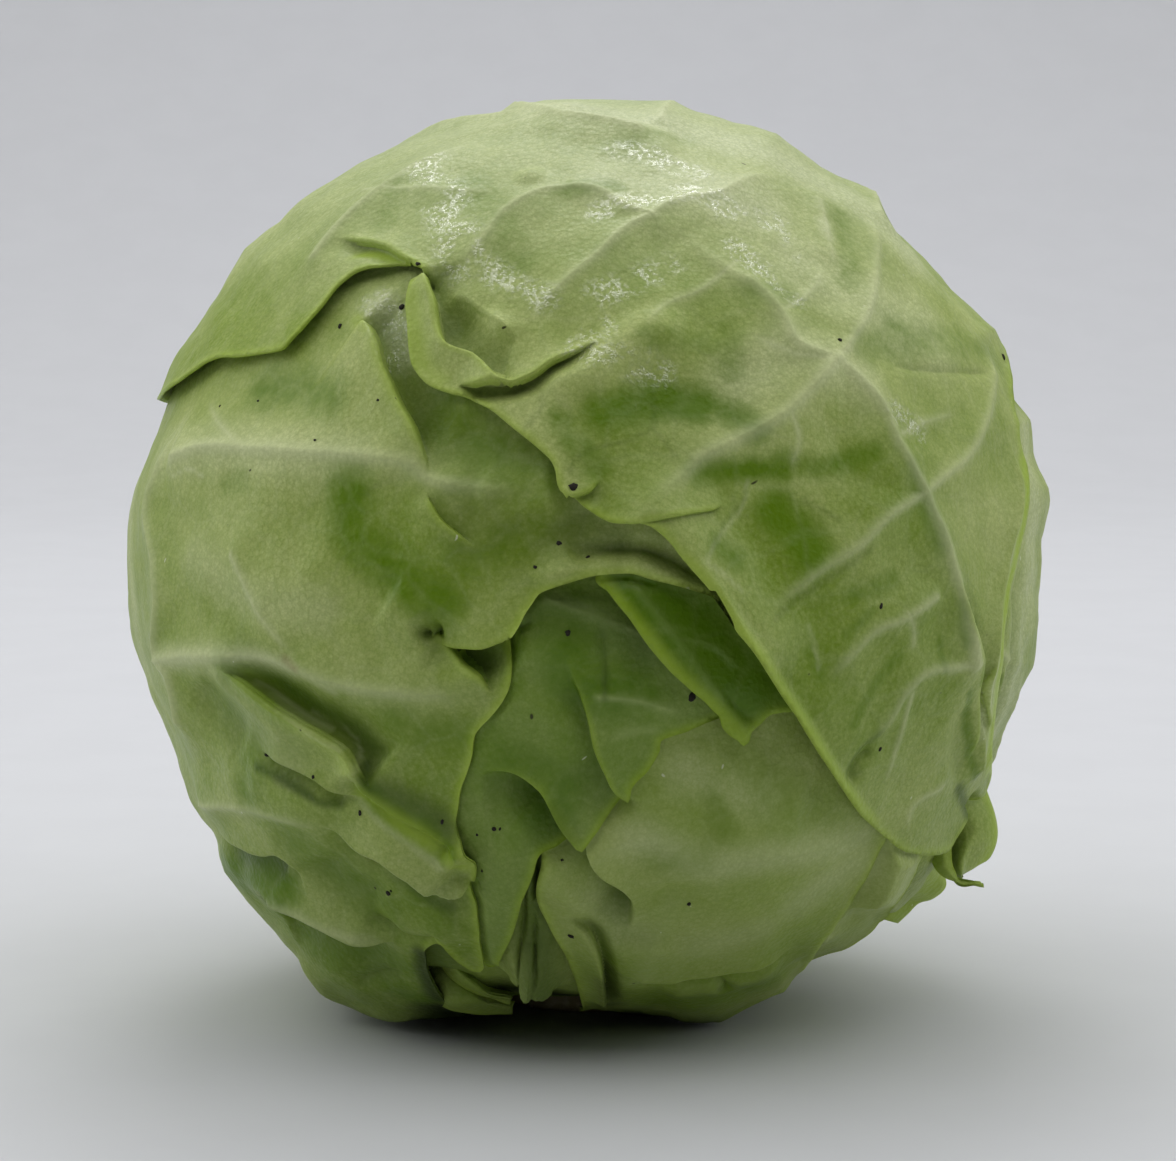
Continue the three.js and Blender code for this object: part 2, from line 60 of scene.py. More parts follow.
# Driving dimensions, mm
SIDE_RADIUS = 66.0
FRONT_RADIUS = 66.0
BACK_RADIUS = 64.0
CENTRE_HEIGHT = 64.0
LAYER = 1.0
BLADE = 0.62
BLADE_AT_EDGE = 0.42
MOST_GAP = 0.12
TORN_SHEET = 0.45
GROUND_CLEARANCE = 0.45
BOX_MARGIN = 0.03
STEM_RADIUS = 13.0
STEM_HEIGHT = 9.0
HEART_DEPTH = 12.5
HEART_SWELL = 0.8
HEART_FLOOR = STEM_HEIGHT + 0.6
SINK_REACH = 20.0
EDGE_CLEARANCE = 0.5
RELEASE_SLOPE = 1.5
LEAN_REACH = 3.5
UNDERCUT_REACH = 2.0
UNDERCUT = 0.5
CREST_REACH = 1.2

# Swells of a leaf's skin, and how far its lift and its lip reach from the edge, mm
QUILT_SIZE = 17
FINE_QUILT_SIZE = 6
PEBBLE_SIZE = 2.4
PEBBLE_HEIGHT = 0.04
LIFT_REACH = 5.0
LIP_HEIGHT = 0.25
LIP_REACH = 0.9
# The painted highlight along a leaf's edge, its reach in mm and strength; and the fold depth and height in
# mm that give full painted shade and full paint on crests
RIM_REACH = 0.8
RIM_HIGHLIGHT = 0.75
FULL_SHADE_DEPTH = 3.2
HIGHEST = 2.4

# Spacing of the points of a leaf's skin, mm
FRONT_STEP = 0.62
BACK_STEP = 1.25
EDGE_STEP = 0.55
UNDER_STEP = 1.1
FACING_LIMIT = -0.12
OUTLINE_STEP = 1.2
ROW_STEP = 0.5
ROW_CLEAR = 0.12
TORN_PIECES = 8
CHUNK = 8

# The front view
VIEW_UNIT = 0.145
VIEW_DISTANCE = 470.0
VIEW_ELEVATION = math.radians(7)
VIEW_MIDDLE = np.array([588.0, 580.5])
HEAD_MIDDLE = np.array([587.5, 561.0])
PICTURE_WIDTH = 1176
SENSOR = 36.0

# The stage in mm, the lights' aim in m, and the table's two colours in linear light
FLOOR_HALF = 3000
BEND_START = 700
BEND_RADIUS = 900
BEND_PIECES = 24
BACKDROP_HEIGHT = 2600
LIGHT_AIM = (0, 0, 0.06)
TABLE_TINT = (0.62, 0.63, 0.66, 1)
TABLE_CLOUD = tuple(0.985 * part for part in TABLE_TINT[:3]) + (1,)

forward = np.array([0, math.cos(VIEW_ELEVATION), -math.sin(VIEW_ELEVATION)])
right = np.array([1.0, 0, 0])
up = np.cross(right, forward)
aside, below = (HEAD_MIDDLE - VIEW_MIDDLE) * VIEW_UNIT
eye = -VIEW_DISTANCE * forward - aside * right + below * up
rise_to_centre = np.array([0, 0, CENTRE_HEIGHT])

# The head's outline in the front view
SILHOUETTE = [
    (160, 399), (171, 369), (181, 351), (197, 329), (205, 316), (219, 295), (227, 279), (245, 249),
    (280, 220), (300, 200), (318, 188), (339, 174), (359, 162), (380, 153), (400, 144), (421, 137),
    (441, 130), (462, 124), (485, 122), (503, 120), (520, 115), (538, 110), (559, 103), (576, 99),
    (600, 98), (617, 100), (638, 104), (661, 108), (691, 114), (720, 120), (733, 125), (760, 131),
    (776, 135), (787, 144), (803, 155), (819, 167), (840, 177), (856, 185), (872, 197), (885, 213),
    (899, 229), (915, 243), (931, 261), (947, 280), (960, 296), (981, 320), (992, 331), (997, 347),
    (1003, 363), (1019, 392), (1035, 419), (1035, 453), (1039, 469), (1047, 488), (1048, 501),
    (1045, 520), (1040, 539), (1039, 573), (1036, 595), (1037, 621), (1035, 643), (1032, 667),
    (1020, 688), (1012, 707), (1001, 731), (993, 755), (981, 788), (968, 815), (955, 840),
    (944, 868), (932, 888), (920, 899), (900, 917), (879, 923), (863, 937), (841, 951), (825, 957),
    (805, 965), (793, 977), (783, 991), (767, 999), (751, 1005), (735, 1012), (719, 1020),
    (703, 1021), (683, 1020), (668, 1013), (636, 1010), (593, 1005), (519, 1004), (500, 1005),
    (482, 1011), (465, 1019), (444, 1022), (423, 1023), (401, 1021), (380, 1015), (339, 997),
    (323, 988), (304, 968), (296, 956), (285, 944), (275, 931), (261, 917), (248, 904), (235, 888),
    (225, 872), (221, 856), (220, 840), (216, 829), (205, 816), (195, 797), (189, 781), (181, 757),
    (173, 736), (163, 715), (152, 691), (144, 669), (136, 648), (131, 627), (128, 600), (127, 567),
    (128, 540), (129, 513), (132, 487), (139, 460), (149, 431),
]
LIMB_ANGLE = math.acos(SIDE_RADIUS / VIEW_DISTANCE)
LIMB_SPREAD = 0.3
BROAD_SPAN = 0.45
BROAD_SAMPLES = 9


def unit(vectors):
    return vectors / np.linalg.norm(vectors, axis=-1, keepdims=True)


def sight(points):
    """Directions from the eye through points of the front view."""
    offset = (np.asarray(points, float) - VIEW_MIDDLE) * VIEW_UNIT / VIEW_DISTANCE
    return unit(forward + offset[:, :1] * right - offset[:, 1:] * up)


def nearest_to_centre(rays):
    along = -rays @ eye
    return along, eye + along[:, None] * rays


def limb_table():
    """The limb's distance from the head's centre by the angle round the line of sight."""
    _, nearest = nearest_to_centre(sight(SILHOUETTE))
    angle = np.arctan2(nearest @ up, nearest @ right)
    order = np.argsort(angle)
    return angle[order], np.linalg.norm(nearest, axis=1)[order]


LIMB_ANGLES, LIMB_RADII = limb_table()


def limb_radius(angle):
    return np.interp(angle, LIMB_ANGLES, LIMB_RADII, period=2 * math.pi)


def ground_radius(where, clearance=GROUND_CLEARANCE):
    """How far from the head's centre a level this high over the ground is."""
    down = np.minimum(where[:, 2], -1e-6)
    return np.where(where[:, 2] < 0, (CENTRE_HEIGHT - clearance) / -down, 1e9)


def base_radius(where):
    """The head's own rounded form, as the distance from its centre in mm."""
    facing = np.clip(-where @ forward, -1, 1)
    angle = np.arctan2(where @ up, where @ right)
    pole = (FRONT_RADIUS + BACK_RADIUS) / 2 + (FRONT_RADIUS - BACK_RADIUS) / 2 * facing
    spans = np.linspace(-BROAD_SPAN, BROAD_SPAN, BROAD_SAMPLES)
    broad = sum(limb_radius(angle + span) for span in spans) / BROAD_SAMPLES
    near_limb = np.exp(-(((np.arccos(facing) - LIMB_ANGLE) / LIMB_SPREAD) ** 2))
    radius = pole + (broad - pole) * (1 - facing**2) + (limb_radius(angle) - broad) * near_limb
    return np.minimum(radius, ground_radius(where))


def meeting(rays, lift):
    """Directions from the head's centre, of the places where rays from the eye meet the form, lifted."""
    along, nearest = nearest_to_centre(rays)
    where = unit(nearest)
    for _ in range(8):
        half = np.sqrt(np.maximum((base_radius(where) + lift) ** 2 - (nearest**2).sum(1), 0))
        where = unit(eye + (along - half)[:, None] * rays)
    return where


def seen(points, lift=0.0):
    """Directions from the head's centre, of points in the front view that lie this high above its form."""
    return meeting(sight(points), lift)


def hidden(points):
    """Directions given in degrees: round the stem from the right through the back, and above."""
    turn, rise = np.radians(np.asarray(points, float)).T
    flat = np.cos(rise)
    return np.stack([np.cos(turn) * flat, np.sin(turn) * flat, np.sin(rise)], 1)


def placed(path):
    """A path's directions. A plain list of points is one of the front view."""
    return path if isinstance(path, np.ndarray) else seen(path)


def lifted(path, lift):
    """Directions at which a form this high shows at the same places of the front view."""
    where = placed(path)
    front = -where @ forward > 0.02
    made = where.copy()
    if front.any():
        rays = unit(where[front] * base_radius(where[front])[:, None] - eye)
        made[front] = meeting(rays, lift)
    return made


def curve(path, step=1.0, closed=False):
    """A smooth path through the given directions, with points about a step apart."""
    count = len(path)
    ends = [path[-1]] if closed else [2 * path[0] - path[1]]
    tail = [path[0], path[1]] if closed else [2 * path[-1] - path[-2]]
    knots = np.vstack([ends, path, tail])
    made = []
    for i in range(count if closed else count - 1):
        p0, p1, p2, p3 = knots[i:i + 4]
        reach = np.linalg.norm(p2 - p1)
        pieces = max(1, round(float(reach) * SIDE_RADIUS / step))
        before = (p2 - p0) * reach / (np.linalg.norm(p2 - p0) + 1e-9)
        after = (p3 - p1) * reach / (np.linalg.norm(p3 - p1) + 1e-9)
        t = (np.arange(pieces) / pieces)[:, None]
        made.append((2 * t**3 - 3 * t**2 + 1) * p1 + (t**3 - 2 * t**2 + t) * before
                    + (3 * t**2 - 2 * t**3) * p2 + (t**3 - t**2) * after)
    if not closed:
        made.append(path[-1:])
    return unit(np.vstack(made))


def from_path(path, where, reach):
    """Where points lie within reach mm of a path: their indices, distance in mm, side (1 left, -1 right)
    and share of the path's length."""
    starts = path[:-1] if len(path) > 1 else path
    stops = path[1:] if len(path) > 1 else path
    lengths = np.linalg.norm(stops - starts, axis=1)
    before = np.concatenate([[0], np.cumsum(lengths)])
    total = max(before[-1], 1e-9)
    mm = np.full(len(where), np.inf)
    side = np.ones(len(where))
    share = np.zeros(len(where))
    for first in range(0, len(starts), CHUNK):
        last = min(first + CHUNK, len(starts))
        corners = np.vstack([starts[first:last], stops[first:last]])
        middle = unit(corners.mean(0))
        cap = np.arccos(np.clip(corners @ middle, -1, 1)).max() + reach / SIDE_RADIUS * 1.1
        near = np.nonzero(where @ middle > math.cos(min(cap, math.pi)))[0]
        if not len(near):
            continue
        points = where[near]
        for i in range(first, last):
            segment = stops[i] - starts[i]
            t = np.clip((points - starts[i]) @ segment / max(segment @ segment, 1e-12), 0, 1)
            gap = np.linalg.norm(points - starts[i] - t[:, None] * segment, axis=1) * SIDE_RADIUS
            closer = gap < mm[near]
            hit = near[closer]
            mm[hit] = gap[closer]
            side[hit] = np.where(points[closer] @ np.cross(starts[i], stops[i]) > 0, 1, -1)
            share[hit] = (before[i] + t[closer] * lengths[i]) / total
    picked = np.nonzero(mm < reach)[0]
    return picked, mm[picked], side[picked], share[picked]


def bump(x):
    return (1 - np.minimum(np.abs(x), 1) ** 2) ** 2


def taper(share, ends):
    """Fades out towards the start and the end of a path over these shares of its length."""
    start, end = ends
    fade = np.ones(len(share))
    if start:
        fade = fade * np.clip(share / start, 0, 1)
    if end:
        fade = fade * np.clip((1 - share) / end, 0, 1)
    return fade * fade * (3 - 2 * fade)


# Forms of a leaf: each gives its reach in mm, and its rise at points of its path's surroundings

def ridge(height, width, path, ends=(0.2, 0.2)):
    """A rounded fold, or a rounded groove where the height is negative."""
    def rise(mm, side, share):
        return height * bump(mm / width) * taper(share, ends)
    return {"path": curve(lifted(path, height)), "reach": width, "rise": rise}


def crease(height, width, path, ends=(0.2, 0.2)):
    """A fold with a sharp back, or a sharp groove where the height is negative."""
    def rise(mm, side, share):
        return height * (1 - mm / width) ** 2 * taper(share, ends)
    return {"path": curve(lifted(path, height)), "reach": width, "rise": rise, "rows": (0, 0.35, 0.8)}


def step(height, high, drop, low, path, ends=(0.15, 0.15), lean=0.5, soft=0.2, bright=0.6):
    """A sharp fold: its left side stands high and leans over its right side, which lies low; bright is the
    strength of the painted highlight on its crest.
    """
    def rise(mm, side, share):
        sharp = 1 - np.exp(-((mm / soft) ** 2))
        left = height * (1 - np.minimum(mm / high, 1)) ** 2
        fall = -drop * bump(mm / low)
        return np.where(side > 0, left, fall) * sharp * taper(share, ends)
    return {"path": curve(placed(path)), "reach": max(high, low), "rise": rise,
            "rows": (0.1, 0.3, 0.6, 1.0), "lean": lean, "ends": ends, "bright": bright}


def strap(height, width, path, ends=(0.1, 0.06)):
    """A narrow, steep pleat with a round back; where pleats meet, the taller one counts."""
    def rise(mm, side, share):
        return height * np.sqrt(np.maximum(1 - (mm / width) ** 2, 0)) * taper(share, ends)
    return {"path": curve(placed(path)), "reach": width, "tallest": rise,
            "rows": (0, 0.5 * width, 0.85 * width, width, 1.2 * width)}


def swell(height, radius, point):
    """A round bulge, or a hollow where the height is negative."""
    def rise(mm, side, share):
        return height * bump(mm / radius)
    return {"path": lifted(point, height), "reach": radius, "rise": rise}


# Veins: height and half-width of the fold in the leaf, of the vein on it, and the share left at its end
RIB = (1.5, 10.0, 1.1, 5.0, 0.6)
UPPER_RIB = (1.3, 9.0, 0.7, 3.2, 0.6)
MIDRIB = (1.9, 10.0, 0.22, 1.6, 0.6)
BRANCH = (1.3, 8.0, 0.14, 0.9, 0.5)
TWIG = (0.6, 5.0, 0.07, 0.6, 0.5)


def vein(size, path, pale=1.0):
    fold, spread, height, width, left = size
    def thin(share):
        return (1 - (1 - left) * share) * taper(share, (0, 0.25))
    def rise(mm, side, share):
        tent = fold * (1 - np.minimum(mm / spread, 1)) ** 2
        return (tent + height * bump(mm / width)) * thin(share)
    def paint(mm, side, share):
        return pale * (0.8 * bump(mm / width) + 0.25 * bump(mm / (2.5 * width))) * thin(share)
    return {"path": curve(lifted(path, fold + height)), "reach": spread, "tallest": rise,
            "paint": paint, "mask": "vein", "rows": (0, 0.35)}


def veins(size, *paths):
    return [vein(size, path) for path in paths]


def mark(mask, strength, radius, path, ends=(0, 0)):
    """A patch of colour round a point or along a path."""
    def paint(mm, side, share):
        return strength * bump(mm / radius) * taper(share, ends)
    where = placed(path)
    return {"path": curve(where) if len(where) > 1 else where, "reach": radius, "paint": paint, "mask": mask}


# Kinds of paint. Some are painted light: edge is a painted highlight along edges and fold crests, hollow and
# shade are painted shade, raised is wax bloom with a painted highlight on crests, and one mask holds dark
# vein lines together with painted shade in grooves and crevices
MASKS = ("vein", "rubbed", "edge", "brown", "dark_lines_and_shade", "wet", "hollow", "raised", "pale", "lush", "shade")


def waves(where, seed, size, count=28):
    """An even random field of about unit height, whose swells are about this many mm across."""
    rng = np.random.default_rng(seed)
    fields = unit(rng.normal(size=(count, 3))) * rng.uniform(0.7, 1.4, (count, 1))
    turns = where @ fields.T * (SIDE_RADIUS * math.pi / size)
    return np.sin(turns + rng.uniform(0, 2 * math.pi, count)).sum(1) / math.sqrt(count / 2)


class Leaf:
    """A leaf: its outline in parts, its forms, and its marks as strength, radius in mm, path and ends."""

    def __init__(self, node, slot, seed, outline, forms, marks=None, edge_lift=0.0, quilt=0.3):
        self.node, self.slot, self.seed = node, slot, seed
        self.outline = curve(np.vstack([placed(part) for part in outline]), OUTLINE_STEP, closed=True)
        self.closed_outline = np.vstack([self.outline, self.outline[:1]])
        self.forms = forms
        self.marks = [mark(mask, *row) for mask, rows in (marks or {}).items() for row in rows]
        self.edge_lift, self.quilt = edge_lift, quilt
        self.middle = unit(self.outline.mean(0))
        self.across = unit(np.cross([0.02, 0.03, 1.0], self.middle))
        self.along = np.cross(self.middle, self.across)
        self.flat_outline = self.flatten(self.outline)

    def flatten(self, where):
        """Directions laid out flat about the leaf's middle, in mm."""
        angle = np.arccos(np.clip(where @ self.middle, -1, 1))
        plane = np.stack([where @ self.across, where @ self.along], 1)
        size = np.maximum(np.linalg.norm(plane, axis=1), 1e-9)
        return plane * (angle / size * SIDE_RADIUS)[:, None]

    def unflatten(self, plane):
        angle = np.linalg.norm(plane, axis=1) / SIDE_RADIUS
        turn = plane / np.maximum(np.linalg.norm(plane, axis=1), 1e-9)[:, None]
        sideways = turn[:, :1] * self.across + turn[:, 1:] * self.along
        return unit(np.cos(angle)[:, None] * self.middle + np.sin(angle)[:, None] * sideways)

    def inside(self, where):
        points = self.flatten(where)
        within = np.zeros(len(where), bool)
        ring = self.flat_outline
        for (ax, ay), (bx, by) in zip(ring, np.roll(ring, -1, axis=0)):
            if ay == by:
                continue
            crossed = (ay > points[:, 1]) != (by > points[:, 1])
            within ^= crossed & (points[:, 0] < ax + (points[:, 1] - ay) / (by - ay) * (bx - ax))
        return within

    def beyond(self, where):
        """The distance in mm beyond the edge, negative inside, and not over the reach."""
        far = np.full(len(where), SINK_REACH)
        near, mm, _, _ = from_path(self.closed_outline, where, SINK_REACH)
        far[near] = mm
        return far * np.where(self.inside(where), -1, 1)

    def folds(self, where):
        """The rise of the leaf's own folds, and of its veins and pleats."""
        folded = np.zeros(len(where))
        tallest = np.zeros(len(where))
        for form in self.forms:
            near, mm, side, share = from_path(form["path"], where, form["reach"])
            if "rise" in form:
                folded[near] += form["rise"](mm, side, share)
            if "tallest" in form:
                tallest[near] = np.maximum(tallest[near], form["tallest"](mm, side, share))
        return folded, tallest

    def own_rise(self, where, beyond):
        total = self.quilt * waves(where, self.seed, QUILT_SIZE)
        total += 0.3 * self.quilt * waves(where, self.seed + 1, FINE_QUILT_SIZE)
        total += PEBBLE_HEIGHT * waves(where, self.seed + 2, PEBBLE_SIZE)
        inside_by = np.maximum(-beyond, 0)
        total += self.edge_lift * np.exp(-((inside_by / LIFT_REACH) ** 2))
        total += LIP_HEIGHT * np.exp(-((inside_by / LIP_REACH) ** 2))
        folded, tallest = self.folds(where)
        return total + folded + tallest

    def masks(self, where, beyond):
        """The strength of each kind of paint, painted shade and painted highlights among them."""
        painted = {mask: np.zeros(len(where)) for mask in MASKS}
        def lay(mask, near, amount):
            painted[mask][near] = np.maximum(painted[mask][near], amount)
        for form in self.forms + self.marks:
            if "paint" in form:
                near, mm, side, share = from_path(form["path"], where, form["reach"])
                lay(form["mask"], near, form["paint"](mm, side, share))
            # fold crests that lean over get a painted highlight
            if "lean" in form:
                near, mm, side, share = from_path(form["path"], where, CREST_REACH)
                crest_highlight = form["bright"] * (side > 0) * bump(mm / CREST_REACH) * taper(share, form["ends"])
                lay("edge", near, crest_highlight)
        folded = self.folds(where)[0]
        every = slice(None)
        # painted shade where the folds sink, wax bloom with a painted highlight where they rise, and a
        # painted highlight along the leaf's edge
        lay("hollow", every, np.clip(-folded / FULL_SHADE_DEPTH, 0, 1))
        lay("raised", every, np.clip(folded / HIGHEST, 0, 1))
        lay("edge", every, RIM_HIGHLIGHT * np.exp(-((np.maximum(-beyond, 0) / RIM_REACH) ** 2)))
        return painted

    def lean(self, where):
        """Sideways shifts in mm that make folds hang over."""
        shift = np.zeros_like(where)
        for form in self.forms:
            if "lean" in form:
                path = form["path"]
                near, mm, side, share = from_path(path, where, LEAN_REACH)
                at = np.clip((share * (len(path) - 1)).astype(int), 0, len(path) - 2)
                onward = unit(path[at + 1] - path[at])
                to_right = np.cross(onward, where[near])
                under = -UNDERCUT * bump(mm / UNDERCUT_REACH)
                amount = form["lean"] * np.where(side > 0, bump(mm / LEAN_REACH), under)
                shift[near] += to_right * (amount * taper(share, form["ends"]))[:, None]
        return shift

    def rows(self):
        """Points in rows beside the sharp folds, so that the skin turns there."""
        made = []
        for form in self.forms:
            for apart in form.get("rows", ()):
                path = curve(form["path"], ROW_STEP)
                onward = np.gradient(path, axis=0)
                sideways = unit(np.cross(onward, path)) * (apart / SIDE_RADIUS)
                made += [unit(path + sideways)] + ([unit(path - sideways)] if apart else [])
        points = self.flatten(np.vstack(made))
        _, kept = np.unique(np.round(points / ROW_CLEAR), axis=0, return_index=True)
        return points[np.sort(kept)]


def outer_radii(order, where):
    """The distance beyond a leaf's edge and the leaf's outer radius, under all leaves before it."""
    found = []
    for leaf in LEAVES[:order + 1]:
        beyond = leaf.beyond(where)
        radius = base_radius(where)
        limit = ground_radius(where)
        for above_beyond, above_radius in found:
            radius = radius - LAYER * bump(np.maximum(above_beyond, 0) / SINK_REACH)
            free = RELEASE_SLOPE * np.maximum(above_beyond - EDGE_CLEARANCE, 0)
            limit = np.minimum(limit, above_radius - BLADE - MOST_GAP + free)
        found.append((beyond, np.minimum(radius + leaf.own_rise(where, beyond), limit)))
    return found[-1]


def hexagons(low, high, spacing):
    rows = np.arange(low[1], high[1], spacing * math.sqrt(3) / 2)
    columns = np.arange(low[0], high[0], spacing)
    xs, ys = np.meshgrid(columns, rows)
    xs = xs + (np.arange(len(rows)) % 2 * spacing / 2)[:, None]
    return np.stack([xs.ravel(), ys.ravel()], 1)


def triangulate(ring, fill):
    """Triangles inside a closed ring of flat points, over the ring and the fill."""
    points = [Vector(p) for p in np.vstack([ring, fill])]
    made = delaunay_2d_cdt(points, [], [list(range(len(ring)))], 1, 1e-6)
    if len(made[0]) != len(points):
        raise RuntimeError("a leaf's outline crosses itself")
    return np.array(made[2])


def walled(top, under, loop, count):
    """The triangles of a sheet's two sides and of the wall along its loop of points."""
    onward = np.roll(loop, -1)
    return np.vstack([top, under[:, ::-1] + count, np.stack([onward, loop, loop + count], 1),
                      np.stack([onward, loop + count, onward + count], 1)])


def mesh_object(name, points, triangles, material, attributes=None):
    mesh = bpy.data.meshes.new(name)
    mesh.vertices.add(len(points))
    mesh.vertices.foreach_set("co", (np.asarray(points) / 1000).astype(np.float32).ravel())
    mesh.loops.add(3 * len(triangles))
    mesh.polygons.add(len(triangles))
    mesh.loops.foreach_set("vertex_index", np.asarray(triangles, np.int32).ravel())
    mesh.polygons.foreach_set("loop_start", np.arange(0, 3 * len(triangles), 3, dtype=np.int32))
    mesh.update()
    mesh.validate()
    mesh.shade_smooth()
    for key, values in (attributes or {}).items():
        made = mesh.attributes.new(key, "FLOAT", "POINT")
        made.data.foreach_set("value", np.asarray(values, np.float32))
    mesh.materials.append(material)
    made = bpy.data.objects.new(name, mesh)
    bpy.context.scene.collection.objects.link(made)
    return made


def in_box(points):
    """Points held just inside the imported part's box."""
    low = np.array(cad_low) * 1000 + BOX_MARGIN
    high = np.array(cad_high) * 1000 - BOX_MARGIN
    low[2] = GROUND_CLEARANCE
    return np.clip(points, low, high)


def skin_points(leaf, ring, front_step):
    """Flat points inside a leaf's outline: rows beside its folds, and an even fill between them."""
    low, high = ring.min(0), ring.max(0)
    fine = hexagons(low, high, front_step)
    coarse = hexagons(low, high, BACK_STEP)
    facing_camera = -leaf.unflatten(fine) @ forward > FACING_LIMIT
    facing_away = -leaf.unflatten(coarse) @ forward <= FACING_LIMIT
    fill = np.vstack([fine[facing_camera], coarse[facing_away]])
    rows = leaf.rows()
    taken = {tuple(cell) for cell in np.round(rows / front_step).astype(int)}
    free = [tuple(cell) not in taken for cell in np.round(fill / front_step).astype(int)]
    fill = np.vstack([rows, fill[free]])
    where = leaf.unflatten(fill)
    at_edge, _, _, _ = from_path(leaf.closed_outline, where, 0.5 * EDGE_STEP)
    keep = leaf.inside(where)
    keep[at_edge] = False
    return fill[keep]


def leaf_piece(order, material):
    leaf = LEAVES[order]
    ring_where = curve(leaf.outline, EDGE_STEP, closed=True)
    ring = leaf.flatten(ring_where)
    sides, skins, edges = [], [], []
    for front_step in (FRONT_STEP, UNDER_STEP):
        fill = skin_points(leaf, ring, front_step)
        sides.append(np.vstack([ring_where, leaf.unflatten(fill)]))
        skins.append(triangulate(ring, fill))
        edges.append(outer_radii(order, sides[-1]))
    (beyond, radius), (under_beyond, under_radius) = edges
    thickness = BLADE_AT_EDGE + (BLADE - BLADE_AT_EDGE) * (1 - np.exp(np.minimum(under_beyond, 0) / 2))
    radii = (radius, under_radius - thickness)
    points = np.vstack([where * far[:, None] + leaf.lean(where) for where, far in zip(sides, radii)])
    triangles = walled(*skins, np.arange(len(ring)), len(sides[0]))
    masks = leaf.masks(np.vstack(sides), np.concatenate([beyond, under_beyond]))
    points = in_box(points + rise_to_centre)
    piece = mesh_object(leaf.node + "_blade", points, triangles, material, masks)
    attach(piece, "root")
    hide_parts(leaf.node)
    return piece


